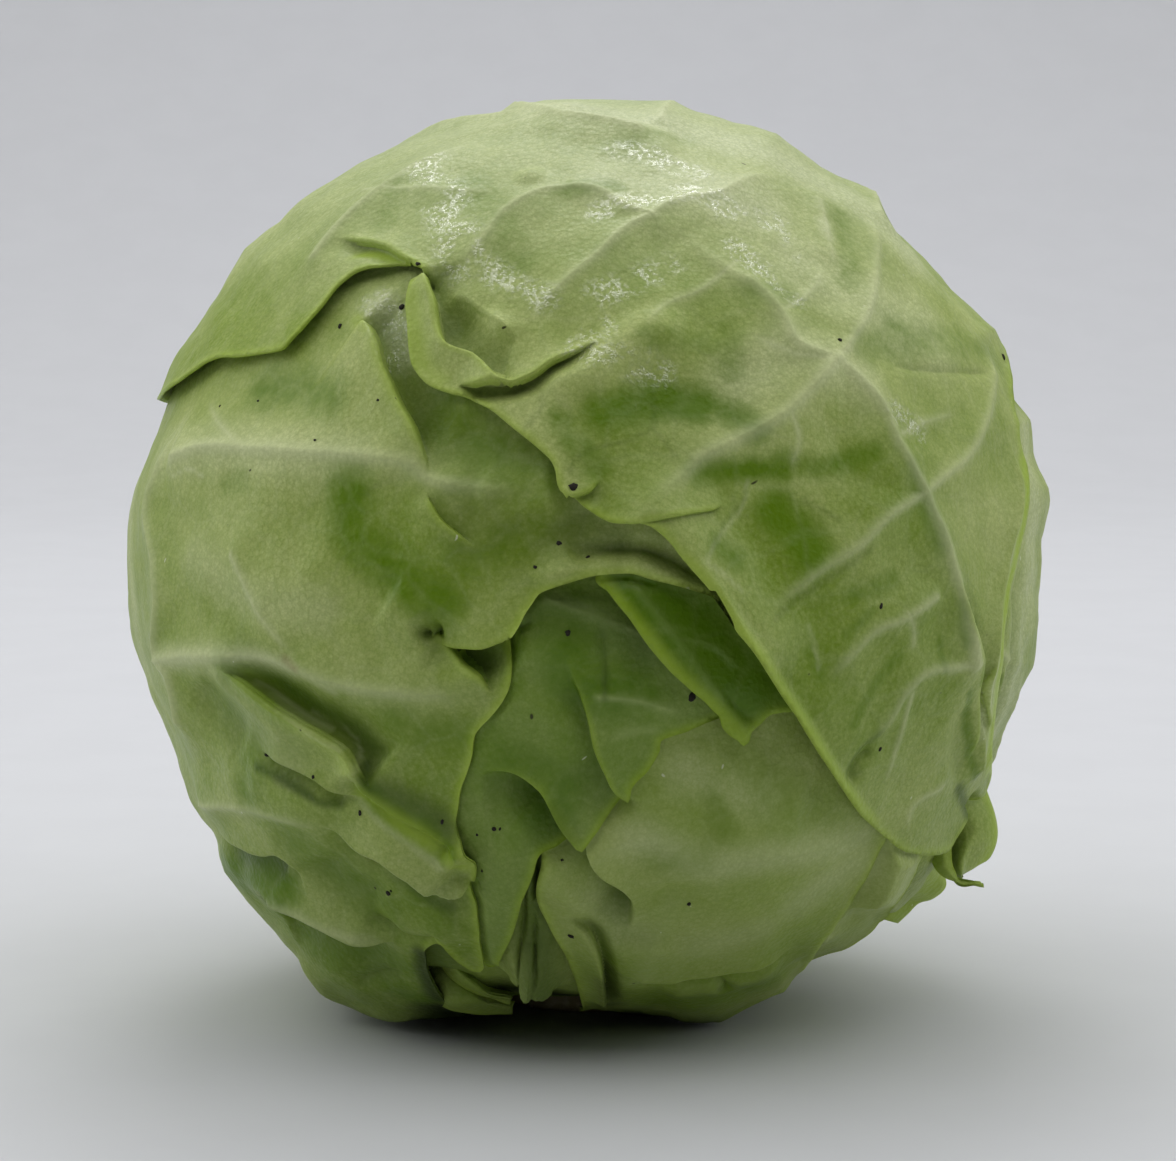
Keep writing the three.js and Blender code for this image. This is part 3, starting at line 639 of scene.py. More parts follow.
# Leaves, from the outermost in, with each outline turning anticlockwise as seen from outside
LEAVES = [
    # The outermost leaf, over the crown and the right front
    Leaf("leaf_crown", "outer_leaf", 11, edge_lift=0.5, outline=[
        [(160, 399), (171, 393), (184, 384), (200, 372), (221, 360), (240, 358), (262, 354), (287, 350),
            (296, 341), (307, 331), (317, 320), (328, 307), (339, 293), (349, 283), (360, 275), (371, 271),
            (381, 269), (397, 265), (408, 265), (419, 268), (425, 273), (416, 279), (411, 292), (408, 308),
            (409, 327), (410, 348), (413, 366), (419, 376), (428, 385), (441, 391), (453, 395), (467, 398),
            (482, 406), (494, 413), (507, 424), (520, 435), (528, 441), (541, 452), (552, 463), (556, 473),
            (557, 481), (560, 491), (567, 495), (574, 499), (581, 505), (592, 513), (603, 520), (613, 524),
            (627, 526), (640, 527), (651, 531), (661, 539), (669, 548), (677, 559), (688, 572), (699, 585),
            (709, 601), (720, 617), (727, 628), (740, 644), (753, 663), (767, 681), (780, 700), (788, 711),
            (799, 729), (809, 745), (820, 761), (831, 777), (844, 796), (857, 812), (871, 825), (884, 836),
            (895, 845), (905, 849), (916, 851), (925, 851), (933, 850), (941, 847), (949, 839), (958, 824),
            (967, 808), (976, 793), (983, 778), (986, 755), (990, 730), (993, 700), (996, 661), (999, 627),
            (1004, 605), (1012, 565), (1016, 547), (1020, 525), (1023, 507), (1023, 488), (1020, 464),
            (1015, 440), (1010, 400), (1005, 372)],
        hidden([(8, 31), (15, 36), (24, 43), (36, 46), (50, 52), (66, 50), (82, 51), (97, 46), (114, 44),
            (130, 37), (143, 33), (153, 24), (164, 19), (174, 20)]),
    ], forms=[
        *veins(MIDRIB, [(975, 665), (960, 580), (930, 490), (899, 435), (891, 411), (872, 387), (838, 358),
            (800, 340), (784, 311), (760, 281), (733, 265), (707, 244), (680, 220), (650, 212)]),
        *veins(BRANCH, [(650, 212), (626, 224), (603, 246), (573, 271), (544, 297), (528, 318)],
            [(655, 212), (629, 203), (597, 184), (573, 181), (544, 184), (524, 193), (500, 209), (480, 235),
            (440, 270)], [(650, 212), (679, 197), (720, 190), (749, 176), (787, 171)]),
        *veins(MIDRIB, [(838, 358), (808, 392), (787, 411), (760, 427), (733, 440), (706, 453), (688, 471),
            (667, 487), (636, 506)]),
        *veins(BRANCH, [(838, 358), (867, 315), (875, 293), (879, 267), (880, 240), (872, 203)]),
        *veins(TWIG, [(838, 364), (797, 357), (773, 347), (745, 331)]),
        *veins(BRANCH, [(930, 490), (952, 472), (968, 459), (979, 445), (989, 421), (996, 395), (997, 368),
            (995, 347), (985, 325)], [(930, 490), (889, 517), (863, 544), (820, 573), (799, 589),
            (760, 613)], [(975, 665), (953, 668), (927, 675), (908, 696), (900, 712), (887, 733),
            (868, 745)], [(937, 597), (900, 621), (881, 629), (860, 648), (841, 667), (826, 688)]),
        *veins(TWIG, [(904, 613), (912, 632), (911, 655)], [(912, 695), (900, 747), (886, 790)],
            [(945, 788), (916, 808), (908, 830)]),
        *veins(BRANCH, [(312, 255), (339, 221), (365, 197), (397, 171), (421, 156), (444, 145),
            (485, 127)]),
        *veins(TWIG, [(365, 191), (397, 188), (427, 187), (471, 188), (505, 191)], [(819, 200), (829, 235),
            (835, 268)], [(490, 126), (529, 121), (573, 117), (632, 120), (661, 128), (695, 144)],
            [(733, 265), (700, 290), (665, 305), (640, 336)], [(784, 311), (812, 290), (826, 262)],
            [(899, 435), (930, 420), (960, 412)], [(787, 411), (800, 440), (792, 470)]),
        *veins(MIDRIB, hidden([(-70, 72), (140, 84), (120, 66), (112, 50)])),
        *veins(BRANCH, hidden([(-50, 76), (40, 76), (66, 64), (72, 54)]), hidden([(-100, 80), (165, 66),
            (158, 50), (150, 40)]), hidden([(-12, 50), (14, 54), (36, 54)])),
        crease(-0.5, 1.4, [(880, 367), (936, 373), (985, 377)]),
        # the rolled flap at the left of the leaf's edge
        step(1.0, 5.0, 0.9, 3.5, [(338, 243), (360, 244), (376, 246), (389, 250), (401, 258), (411, 264),
            (425, 273)], (0.3, 0), 0.3),
        step(2.2, 4.2, 1.6, 6.0, [(518, 374), (510, 374), (500, 373), (488, 366), (475, 358), (459, 353),
            (446, 346), (440, 335), (437, 321), (435, 303), (429, 287), (425, 274)], (0.15, 0.05), 0.4),
        swell(-1.3, 5.0, [(468, 322)]),
        crease(1.0, 3.0, [(438, 300), (453, 290), (464, 293), (475, 301), (491, 313), (507, 327),
            (518, 337)]),
        step(1.6, 3.0, 2.2, 4.0, [(456, 387), (469, 383), (485, 381), (501, 380), (515, 377), (533, 369),
            (549, 358), (563, 353), (580, 350), (604, 344)], (0.15, 0.35), 1.3),
        ridge(1.1, 4.5, [(530, 398), (560, 380), (597, 363), (627, 343), (667, 328), (700, 330)]),
        ridge(-0.6, 8, [(600, 400), (680, 392), (760, 408)]),
        # the small lobe and the lifted, rolled edge below it
        step(0.8, 4.0, 0.9, 2.5, [(562, 495), (576, 495), (590, 490), (602, 481)], (0.1, 0.4)),
        ridge(2.6, 9, [(598, 508), (640, 517), (672, 536), (705, 578), (745, 632), (790, 692)]),
        step(0.6, 5, 0.4, 3, [(616, 524), (640, 522), (667, 517), (693, 512), (725, 506)]),
        ridge(0.9, 1.9, [(668, 542), (700, 583), (730, 627), (760, 668), (790, 710), (820, 757), (850, 799),
            (882, 832)]),
        crease(-1.1, 2.6, [(868, 745), (855, 752), (847, 763), (844, 779)]),
        crease(1.3, 4.5, [(1012, 425), (1020, 470), (1022, 500), (1013, 545), (1004, 585), (996, 625),
            (992, 670), (988, 720), (982, 770)], (0.15, 0)),
        step(0.7, 4, 1.0, 4, [(966, 770), (974, 720), (973, 670), (966, 640), (955, 610), (949, 572)],
            (0.2, 0.2), 0.2),
        step(0.5, 3, 0.7, 3, [(985, 655), (979, 690), (984, 730)], (0.2, 0.2), 0.2),
        ridge(-0.6, 3.5, [(958, 700), (955, 740), (960, 775)]),
        # the crack above the torn tip
        crease(-2.6, 2.4, [(951, 786), (954, 797), (957, 808), (961, 822)], (0.2, 0)),
        crease(-1.2, 1.4, [(944, 830), (951, 834), (957, 837)], (0.4, 0)),
        swell(0.9, 3, [(530, 172)]),
    ], marks={
        # dark vein lines, and painted shade in the crack and a crease
        "dark_lines_and_shade": [(0.3, 0.5, [(541, 391), (540, 412), (525, 433)]), (0.32, 0.5, [(653, 393), (652, 428),
            (627, 441), (600, 447), (576, 460), (571, 473)]), (0.3, 0.5, [(652, 428), (669, 447),
            (675, 460)]), (0.3, 0.5, [(747, 481), (744, 500), (725, 521), (707, 551)]), (0.35, 0.7,
            [(805, 500), (822, 510), (838, 520)]), (0.5, 0.9, [(878, 732), (862, 744), (853, 753),
            (844, 772)]), (0.35, 0.8, [(770, 616), (800, 595), (825, 579), (866, 549)]), (0.9, 1.6,
            [(958, 788), (963, 806), (966, 824)])],
        "vein": [(0.5, 0.5, [(805, 625), (812, 645), (815, 668)]), (0.5, 0.5, [(700, 562), (718, 574),
            (735, 590)]), (0.5, 0.5, [(748, 480), (742, 508), (712, 543), (700, 562)]), (0.5, 0.8,
            [(697, 464), (720, 450), (745, 437), (785, 412)])],
        "rubbed": [(0.75, 3.5, [(660, 392), (700, 400), (735, 418), (752, 432)]), (0.6, 3.5, [(560, 420),
            (580, 450), (598, 470)]), (0.8, 3, [(695, 474), (735, 470), (785, 468)]), (0.7, 3, [(780, 462),
            (820, 466), (868, 456)]), (0.6, 3, [(905, 470), (918, 505), (932, 545)]), (0.6, 2.5,
            [(850, 596), (888, 580)]), (0.95, 5.5, [(778, 512), (798, 532), (808, 552)]), (0.6, 3,
            [(712, 545), (732, 560)]), (0.7, 1.2, [(949, 600), (951, 622), (954, 642)]), (0.8, 1.2,
            [(968, 622), (971, 650), (973, 680)]), (0.7, 1.4, [(964, 690), (966, 735), (970, 775)]),
            (0.55, 1.2, [(935, 640), (938, 668)]), (0.5, 1.5, [(806, 650), (818, 676)]), (0.5, 1.5,
            [(868, 610), (842, 634)]), (0.5, 1.8, [(895, 655), (868, 690), (850, 720)]), (0.25, 4,
            [(605, 150), (645, 143), (690, 140)]), (0.5, 3, [(565, 193), (590, 190), (615, 190)]), (0.35, 4,
            [(836, 215), (846, 250), (845, 285)]), (0.45, 3.5, [(745, 297), (785, 300)]), (0.45, 3,
            [(645, 342), (715, 344)]), (0.4, 3, [(884, 325), (900, 330)]), (0.35, 5, [(470, 180),
            (500, 230), (520, 262)]), (0.35, 4, [(400, 190), (385, 225)]), (0.9, 5, [(600, 415), (650, 402),
            (700, 405)]), (0.4, 3.5, [(728, 330), (730, 368)]), (0.4, 5, [(860, 352), (930, 340),
            (990, 356)])],
        "pale": [(1.0, 8, [(560, 112), (640, 122), (720, 140), (790, 168), (850, 202), (900, 250)]),
            (0.8, 9, [(620, 178), (690, 188), (750, 210)]), (0.7, 10, [(800, 270), (860, 310), (920, 330)]),
            (0.8, 2.0, [(822, 225), (826, 238)]), (0.8, 3, [(980, 690), (978, 728)]), (0.6, 7, [(740, 380),
            (800, 350), (850, 380)])],
        "lush": [(0.65, 20, [(720, 560), (800, 640), (870, 710)]), (0.7, 13, [(930, 600), (910, 520),
            (880, 470)]), (0.5, 12, [(640, 470), (700, 520)])],
        # painted highlight along the rolled rims, the flap and the right margin
        "edge": [(0.85, 1.7, [(655, 534), (700, 584), (730, 629), (760, 669), (790, 711), (820, 758),
            (850, 800), (882, 833)], (0.1, 0.1)), (0.9, 1.6, [(345, 262), (366, 254), (388, 256),
            (408, 264), (424, 273)], (0.2, 0)), (0.5, 2.2, [(418, 285), (414, 320), (418, 352), (432, 378),
            (460, 392)], (0.1, 0.2)), (1.0, 2.6, [(1008, 400), (1018, 445), (1022, 490), (1018, 525),
            (1008, 575), (999, 620), (994, 665), (990, 715), (984, 765)], (0.1, 0))],
        "wet": [(1.0, 3, [(618, 152), (645, 156), (668, 166), (700, 178)]), (1.0, 3, [(600, 214),
            (640, 205), (690, 196)]), (1.0, 3.5, [(712, 205), (740, 222), (774, 226), (800, 255)]), (0.9, 3,
            [(735, 250), (760, 275), (790, 300)]), (0.9, 3, [(600, 296), (640, 280), (668, 266)]), (1.0, 5,
            [(430, 170), (450, 215), (466, 260)]), (0.9, 3, [(490, 270), (520, 290), (545, 300)]), (0.8, 3,
            [(600, 330), (575, 350), (660, 372)]), (0.9, 3, [(890, 415), (915, 432)])],
    }),
    # The large leaf over the left front
    Leaf("leaf_left", "outer_leaf", 23, outline=[
        [(750, 600), (700, 593), (691, 590), (681, 587), (665, 583), (649, 579), (633, 574), (617, 574),
            (601, 575), (585, 578), (569, 583), (553, 588), (538, 595), (532, 604), (524, 615), (513, 625),
            (505, 633), (507, 645), (510, 660), (511, 675), (508, 691), (499, 707), (488, 720), (475, 735),
            (472, 755), (467, 773), (461, 789), (459, 805), (457, 821), (459, 830), (465, 842), (473, 855),
            (477, 868), (475, 880), (468, 889), (470, 898), (475, 905), (478, 915), (480, 928), (481, 941),
            (483, 954), (484, 967), (480, 971), (472, 970), (461, 963), (450, 951), (442, 941), (434, 942),
            (427, 946), (426, 957), (428, 970), (434, 983), (441, 995), (447, 1008)],
        hidden([(-138, -74), (-150, -76), (-162, -76), (-175, -76), (165, -74), (150, -60), (143, -48),
            (140, -35), (136, -20), (137, -5), (136, 8), (140, 20), (143, 30), (150, 40)]),
        [(300, 230), (380, 205), (480, 235), (590, 330), (660, 420), (720, 510)],
    ], forms=[
        *veins(MIDRIB, [(171, 455), (200, 444), (240, 445), (293, 448), (333, 451), (373, 455), (400, 460),
            (430, 478), (467, 484), (520, 489), (558, 481)], [(153, 661), (187, 657), (240, 659),
            (267, 664), (301, 677), (333, 688), (373, 695), (413, 699), (467, 701), (502, 699)]),
        *veins(BRANCH, [(195, 808), (227, 809), (253, 813), (280, 819), (307, 825), (337, 833)],
            [(253, 899), (280, 909), (307, 920), (347, 936), (368, 944), (392, 950)]),
        *veins(TWIG, [(235, 555), (270, 625), (300, 660)]),
        *veins(MIDRIB, [(172, 723), (163, 677), (153, 661), (152, 600), (147, 553), (140, 513), (149, 476),
            (165, 433), (181, 391)]),
        *veins(TWIG, [(240, 445), (215, 420), (200, 395)]),
        ridge(0.5, 9, [(170, 550), (230, 560), (300, 590), (350, 600)]),
        ridge(0.4, 7, [(250, 590), (320, 630), (380, 640)]),
        *veins(BRANCH, hidden([(-172, -62), (168, -35), (155, -10)]), hidden([(174, -8), (160, 12),
            (150, 28)]), hidden([(-178, -66), (156, -56)])),
        # the fold from under the crown leaf, raised on its left
        step(2.2, 15, 2.2, 9, [(431, 482), (427, 463), (419, 447), (408, 425), (397, 407), (387, 385),
            (380, 369), (376, 353), (372, 340), (366, 329), (356, 321)], (0.3, 0.08), 0.9),
        step(1.0, 7, 0.35, 6, [(480, 548), (463, 539), (451, 531), (440, 521), (432, 508), (427, 492)],
            (0.35, 0.2)),
        ridge(-0.8, 9, [(450, 420), (490, 450), (520, 520)]),
        ridge(0.9, 6, [(470, 486), (520, 489), (560, 483)]),
        ridge(-1.0, 6, [(560, 510), (590, 535), (640, 545)]),
        # the rolled edge at the right
        ridge(1.7, 2.6, [(541, 594), (553, 582), (575, 571), (601, 565), (630, 563), (660, 571),
            (700, 588)], (0.2, 0)),
        crease(-1.5, 2.6, [(562, 572), (577, 560), (591, 554), (607, 551), (628, 550), (647, 551),
            (663, 557), (695, 574)], (0.3, 0)),
        ridge(0.9, 3.0, [(575, 548), (553, 569), (538, 592)]),
        # the pinch and its lower lip
        crease(-2.6, 2.6, [(422, 634), (434, 628), (448, 619)], (0.2, 0.2)),
        step(1.6, 7, 2.8, 5.5, [(420, 634), (436, 637), (450, 642), (468, 642), (481, 641), (492, 637),
            (508, 631)], (0.15, 0), 1.2),
        step(1.4, 4.5, 2.4, 5.0, [(494, 697), (488, 690), (477, 678), (461, 668), (448, 655), (438, 645),
            (424, 637)], (0.3, 0.1), 0.5),
        ridge(0.8, 5, [(380, 600), (405, 618), (424, 628)]),
        # the big folds at the lower left, from the top down
        step(1.8, 4.5, 2.8, 9, seen([(370, 790), (361, 782), (354, 773), (344, 761), (331, 750), (316, 740),
            (301, 731), (287, 722), (271, 711), (254, 697), (237, 680), (218, 665)], 1.2), (0.1, 0.3), 0.9,
            bright=0.4),
        crease(0.8, 5, [(214, 662), (222, 675), (229, 687), (241, 700), (257, 716), (274, 730), (290, 745),
            (308, 760)], (0.15, 0.3)),
        ridge(-1.2, 6.5, [(208, 672), (220, 700), (238, 724), (256, 744)]),
        crease(-2.2, 4.5, [(356, 762), (363, 775), (372, 785), (385, 793), (405, 804), (425, 815),
            (445, 827), (462, 842)], (0.12, 0.1)),
        crease(2.2, 5.5, [(325, 766), (340, 780), (352, 791), (363, 800), (376, 810), (400, 826),
            (420, 837), (440, 848), (460, 862), (474, 874)], (0.25, 0.12)),
        step(1.2, 5, 1.4, 2.6, seen([(254, 753), (267, 757), (285, 766), (301, 774), (315, 781), (329, 790),
            (342, 797), (354, 800), (364, 804)], 1.2), (0.25, 0.3), 0.4, bright=0),
        ridge(1.6, 6.5, [(300, 796), (350, 818), (386, 838), (416, 860), (446, 882)], (0.7, 0.05)),
        step(2.4, 5, 2.0, 6.5, np.vstack([seen([(318, 822), (340, 834), (357, 844)], 0.8), seen([(383, 859),
            (400, 870)], 2.2), seen([(409, 881), (419, 890), (431, 898), (446, 904), (458, 902),
            (466, 894)], 3.2)]), (0.35, 0.06), 0.4, bright=0),
        step(1.0, 7, 2.0, 9, seen([(211, 829), (219, 836), (228, 844), (238, 850), (249, 856), (262, 858),
            (272, 858), (281, 865), (290, 877), (297, 890), (303, 904)], 1.0), (0.25, 0.4), 0.5,
            bright=0.2),
        ridge(-1.0, 8, [(318, 850), (345, 880), (390, 903)]),
        ridge(1.0, 6, [(240, 775), (300, 806), (340, 824)]),
        crease(-1.3, 3.2, [(368, 911), (388, 918), (405, 926), (428, 930), (450, 926)]),
        step(1.6, 7, 2.6, 13, seen([(244, 893), (259, 900), (274, 909), (299, 920), (318, 928), (337, 938),
            (356, 946), (372, 950), (392, 951)], 1.5), (0.3, 0.25), 0.3, bright=0.1),
        ridge(0.9, 5, [(390, 940), (430, 938), (465, 925)]),
        ridge(1.0, 4, [(298, 966), (326, 985), (370, 1003), (415, 1015)]),
        crease(-0.9, 3.0, [(360, 974), (385, 971), (410, 972)]),
    ], marks={
        "rubbed": [(0.8, 6, [(350, 492), (355, 535), (400, 575), (440, 600)]), (0.6, 6, [(260, 385),
            (300, 388), (330, 395)]), (0.4, 3, [(228, 486), (245, 480)]), (0.6, 4, [(235, 668), (262, 690),
            (288, 712)]), (0.5, 6, [(460, 560), (500, 550)]), (0.9, 3.5, [(372, 792), (400, 811),
            (425, 826), (448, 842)]), (0.9, 5, [(240, 866), (262, 874), (284, 884)]), (0.6, 7, [(450, 410),
            (500, 445), (550, 465)]), (0.5, 7, [(300, 850), (340, 880), (380, 905)]), (0.4, 4, [(405, 890),
            (440, 918)]), (0.5, 6, [(300, 940), (350, 960), (400, 965)]), (0.6, 5, [(400, 990),
            (440, 1005)]), (0.5, 5, [(395, 720), (430, 735), (465, 735)]), (0.5, 5, [(230, 700), (260, 740),
            (250, 790)]), (1.0, 6, seen([(236, 864), (262, 874), (286, 890)], -1.5))],
        # painted highlight along fold crests
        "edge": [(0.5, 1.6, [(353, 317), (372, 340), (380, 369), (397, 407)]), (0.4, 2.2, [(246, 680),
            (272, 702), (300, 724), (330, 742), (348, 764)]), (0.9, 2.2, [(364, 790), (388, 806),
            (412, 822), (438, 840)]), (0.6, 1.8, [(438, 840), (454, 852), (466, 864)])],
        "vein": [(0.9, 0.5, [(252, 682), (275, 702), (300, 721), (322, 733)]), (0.8, 0.4, [(262, 692),
            (288, 716), (318, 738), (342, 752)]), (0.8, 0.4, [(300, 716), (330, 732), (350, 752),
            (358, 770)]), (0.6, 0.8, [(362, 800), (385, 817), (405, 829), (428, 845), (444, 858)]),
            (0.8, 0.4, [(182, 478), (197, 471), (207, 477)]), (0.9, 1.4, [(293, 668), (312, 676),
            (335, 690)]), (0.7, 0.8, [(156, 650), (160, 668), (170, 690), (173, 716)]), (0.6, 0.7,
            [(166, 655), (176, 680), (186, 702)]), (0.4, 6, [(225, 672), (250, 712), (290, 752)])],
        "brown": [(0.5, 1.0, [(290, 657), (300, 667)]), (0.3, 0.5, [(350, 846), (365, 862)]), (0.3, 0.5,
            [(358, 846), (373, 866)])],
        # painted shade in grooves, under lips, in the notch and near the ground
        "dark_lines_and_shade": [(0.7, 1.4, [(350, 844), (368, 853), (384, 863), (400, 875), (412, 888), (432, 902),
            (450, 908)]), (0.7, 2.8, [(372, 778), (388, 788), (410, 799), (432, 810), (454, 826)]),
            (0.7, 3.0, [(280, 690), (300, 706), (322, 719), (345, 733), (362, 752)]), (0.9, 1.0,
            [(362, 768), (366, 778), (376, 787)]), (0.9, 2.2, [(424, 950), (425, 968), (431, 985),
            (440, 1002)]), (0.9, 4, [(420, 1022), (460, 1014), (500, 1006)]), (0.9, 1.1, seen([(266, 761),
            (284, 769), (300, 778), (314, 786), (330, 795), (346, 799)], -0.8)), (0.45, 2.0,
            seen([(236, 855), (254, 861), (270, 862), (284, 873)], -0.8))],
        # paler with wax bloom; the second mark, beside the crown leaf's flap, is a painted highlight
        "pale": [(0.5, 6, [(165, 455), (240, 447), (300, 455), (350, 458)]), (1.0, 3.5, [(376, 300),
            (386, 328), (396, 352)]), (0.4, 5, [(200, 560), (260, 600), (320, 610)]), (0.6, 3, [(160, 655),
            (240, 655), (290, 668)]), (0.6, 4, [(135, 480), (130, 540), (132, 600), (145, 670)]), (0.5, 4,
            [(400, 872), (440, 888)])],
        "lush": [(0.9, 14, [(260, 890), (330, 950), (430, 990)]), (0.7, 14, [(250, 740), (320, 850),
            (400, 910), (460, 930)]), (0.6, 9, [(370, 720), (440, 750)]), (0.6, 10, [(350, 500),
            (420, 560)]), (0.5, 6, [(240, 640), (245, 700), (240, 730)]), (0.8, 8, [(380, 730), (420, 770),
            (450, 800)]), (0.8, 8, [(420, 420), (480, 460), (540, 520)])],
        "shade": [(1.0, 6, [(440, 1012), (500, 1006), (560, 1010)]), (0.7, 2.5, [(425, 952), (426, 968),
            (432, 984), (440, 1000)]), (0.25, 7, [(470, 520), (520, 530), (560, 540)]), (0.2, 5.0,
            seen([(398, 792), (425, 804), (450, 818)], -1.2)), (0.35, 1.2, seen([(288, 772), (306, 780),
            (322, 788)], -1.2))],
        "wet": [(0.7, 4, [(372, 296), (384, 322), (394, 345)])],
    }),
    # The pointed leaf end beside the crown leaf's edge
    Leaf("leaf_tip", "shaded_leaf", 37, edge_lift=0.6, quilt=0.2, outline=[
        [(595, 579), (607, 591), (617, 604), (628, 617), (639, 633), (649, 647), (660, 660), (671, 672),
            (681, 681), (692, 691), (703, 700), (713, 711), (719, 716), (722, 727), (729, 735), (737, 740),
            (744, 746), (749, 742), (752, 732), (761, 724), (769, 716), (777, 714), (785, 713), (800, 712),
            (830, 700), (800, 640), (760, 580), (700, 545), (630, 548)],
    ], forms=[
        vein(BRANCH, [(640, 590), (690, 655), (742, 725)], 0.3),
        vein(TWIG, [(680, 640), (720, 650), (750, 680)], 0.3),
        ridge(0.6, 3, [(604, 585), (640, 628), (672, 668), (712, 706)]),
        crease(-0.5, 2, [(722, 690), (745, 715), (760, 722)]),
    ], marks={
        "rubbed": [(0.9, 9, [(640, 590), (700, 640), (750, 690)])],
        # painted highlight along the tip's edge
        "edge": [(0.8, 2.0, [(602, 584), (642, 633), (674, 672), (722, 716), (746, 741)])],
    }),
    # The leaf in the middle, with a strip down to the base
    Leaf("leaf_middle", "shaded_leaf", 41, quilt=0.25, outline=[
        [(720, 723), (708, 727), (697, 731), (687, 735), (673, 739), (662, 744), (661, 753), (655, 764),
            (647, 775), (636, 784), (632, 789), (631, 796), (620, 807), (607, 820), (593, 835), (585, 843),
            (580, 845), (569, 848), (555, 853), (540, 855), (535, 868), (530, 881), (523, 896), (519, 912),
            (513, 932), (506, 946), (501, 956), (499, 965), (495, 970), (490, 972), (485, 970), (478, 958),
            (462, 940), (440, 920), (430, 860), (425, 780), (440, 690), (480, 600), (540, 545), (640, 540),
            (740, 600), (800, 660), (790, 700)],
    ], forms=[
        step(1.2, 6, 1.4, 6, [(562, 650), (572, 678), (581, 700), (589, 723), (596, 753), (606, 776),
            (615, 793), (626, 800)], (0.55, 0), 0.3),
        ridge(0.9, 5, [(478, 722), (510, 714), (545, 728), (575, 752), (592, 775)]),
        step(1.8, 6, 2.8, 6, [(470, 779), (490, 775), (510, 774), (525, 779), (540, 789), (547, 798),
            (555, 813), (566, 830), (580, 845)], (0.55, 0), 0.5),
        ridge(-0.8, 5, [(480, 795), (510, 797), (535, 812)]),
        ridge(1.7, 5.0, [(505, 832), (508, 860), (502, 900), (495, 940), (491, 966)], (0.3, 0)),
        *veins(TWIG, [(545, 600), (600, 620), (650, 640), (700, 690)], [(600, 700), (640, 705),
            (690, 720)]),
        crease(-0.6, 1.6, [(603, 625), (606, 665), (605, 700)]),
        ridge(0.6, 5, [(520, 640), (560, 670), (570, 700)]),
    ], marks={
        "rubbed": [(0.7, 7, [(570, 660), (590, 690), (640, 690)]), (0.6, 6, [(540, 820), (565, 790)]),
            (0.5, 4, [(510, 760), (550, 770)])],
        # painted highlight along the leaf's edges and a crest
        "edge": [(0.7, 1.4, [(720, 723), (687, 735), (662, 746)]), (0.6, 1.6, [(540, 789), (555, 813),
            (578, 842)])],
        # painted shade along a crease, under the crown leaf's edge and under a crest
        "dark_lines_and_shade": [(0.45, 0.7, [(603, 625), (606, 665), (605, 700)]), (0.7, 6, [(540, 612), (590, 620),
            (640, 645)]), (0.5, 3, [(550, 812), (566, 832)])],
        "vein": [(0.5, 1.2, [(620, 738), (640, 734), (656, 733)]), (0.5, 1.2, [(556, 596), (600, 618),
            (640, 636)])],
    }),
    # The broad pale leaf at the lower right
    Leaf("leaf_lower_right", "pale_leaf", 53, edge_lift=0.3, quilt=0.25, outline=[
        [(545, 830), (541, 850), (541, 866), (537, 882), (536, 900), (539, 915), (547, 930), (556, 945),
            (564, 957), (570, 971), (577, 988), (583, 1003)],
        hidden([(-92, -76), (-78, -76), (-62, -76)]),
        [(722, 1018), (760, 1000), (783, 990), (795, 976), (806, 962), (820, 941), (833, 927), (844, 913),
            (857, 897), (868, 881), (877, 863), (890, 835), (860, 770), (800, 700), (730, 680), (650, 700),
            (600, 740), (560, 790)],
    ], forms=[
        step(1.8, 9, 3.0, 7, seen([(585, 842), (588, 852), (594, 863), (603, 873), (614, 882), (624, 891),
            (631, 899), (634, 908), (632, 922), (628, 938)], 0.8), (0.1, 0.35), 0.35, bright=0.1),
        swell(2.2, 8, [(572, 896)]),
        step(1.8, 4.5, 1.8, 2.6, seen([(605, 1003), (603, 985), (601, 970), (597, 956), (592, 944),
            (586, 936), (577, 931), (562, 926)], 0.8), (0, 0.25), 0.35, bright=0.1),
        vein((1.5, 12, 0.1, 3.0, 0.6), [(560, 858), (640, 845), (700, 866), (780, 856), (885, 850)], 0.35),
        vein((1.2, 10, 0.1, 2.5, 0.6), [(640, 985), (655, 940), (690, 880)], 0.3),
        ridge(-0.9, 9, [(640, 880), (655, 910), (645, 940)]),
        ridge(0.9, 12, [(700, 800), (770, 790), (830, 800)]),
        step(1.4, 9, 2.2, 4.5, [(620, 972), (660, 973), (687, 971), (713, 968), (740, 964), (767, 959),
            (800, 946)], (0.3, 0.3), 0.4),
        ridge(1.0, 6, [(655, 996), (700, 994), (750, 984), (790, 966)]),
        crease(-1.3, 2, [(714, 966), (721, 973), (726, 984)]),
        swell(1.2, 18, [(735, 910)]),
    ], marks={
        "rubbed": [(0.7, 8, [(660, 1000), (710, 1002), (760, 985)]), (0.4, 8, [(740, 760), (790, 810)]),
            (0.5, 3.5, [(715, 803), (725, 832)]), (0.4, 5, [(660, 860), (700, 850)])],
        "lush": [(0.9, 14, [(620, 985), (700, 985), (780, 960)]), (0.5, 6, [(650, 800), (740, 820),
            (820, 810)]), (0.5, 6, [(660, 900), (740, 890)])],
        "pale": [(0.4, 6, [(600, 900), (620, 930)]), (0.5, 5, [(690, 780), (760, 800)]), (0.6, 5,
            [(640, 840), (700, 858), (780, 850), (860, 846)]), (0.6, 6, [(800, 900), (850, 870)]), (0.4, 5,
            [(700, 940), (760, 925)])],
        "shade": [(1.0, 5, [(560, 1012), (640, 1018), (700, 1026)]), (0.6, 3, [(606, 975), (612, 1003)])],
    }),
    # The narrow pale leaf behind it
    Leaf("leaf_lower_back", "pale_leaf", 59, quilt=0.2, outline=[
        [(921, 852), (921, 866), (916, 877), (905, 895), (895, 908), (884, 919), (866, 934), (845, 949)],
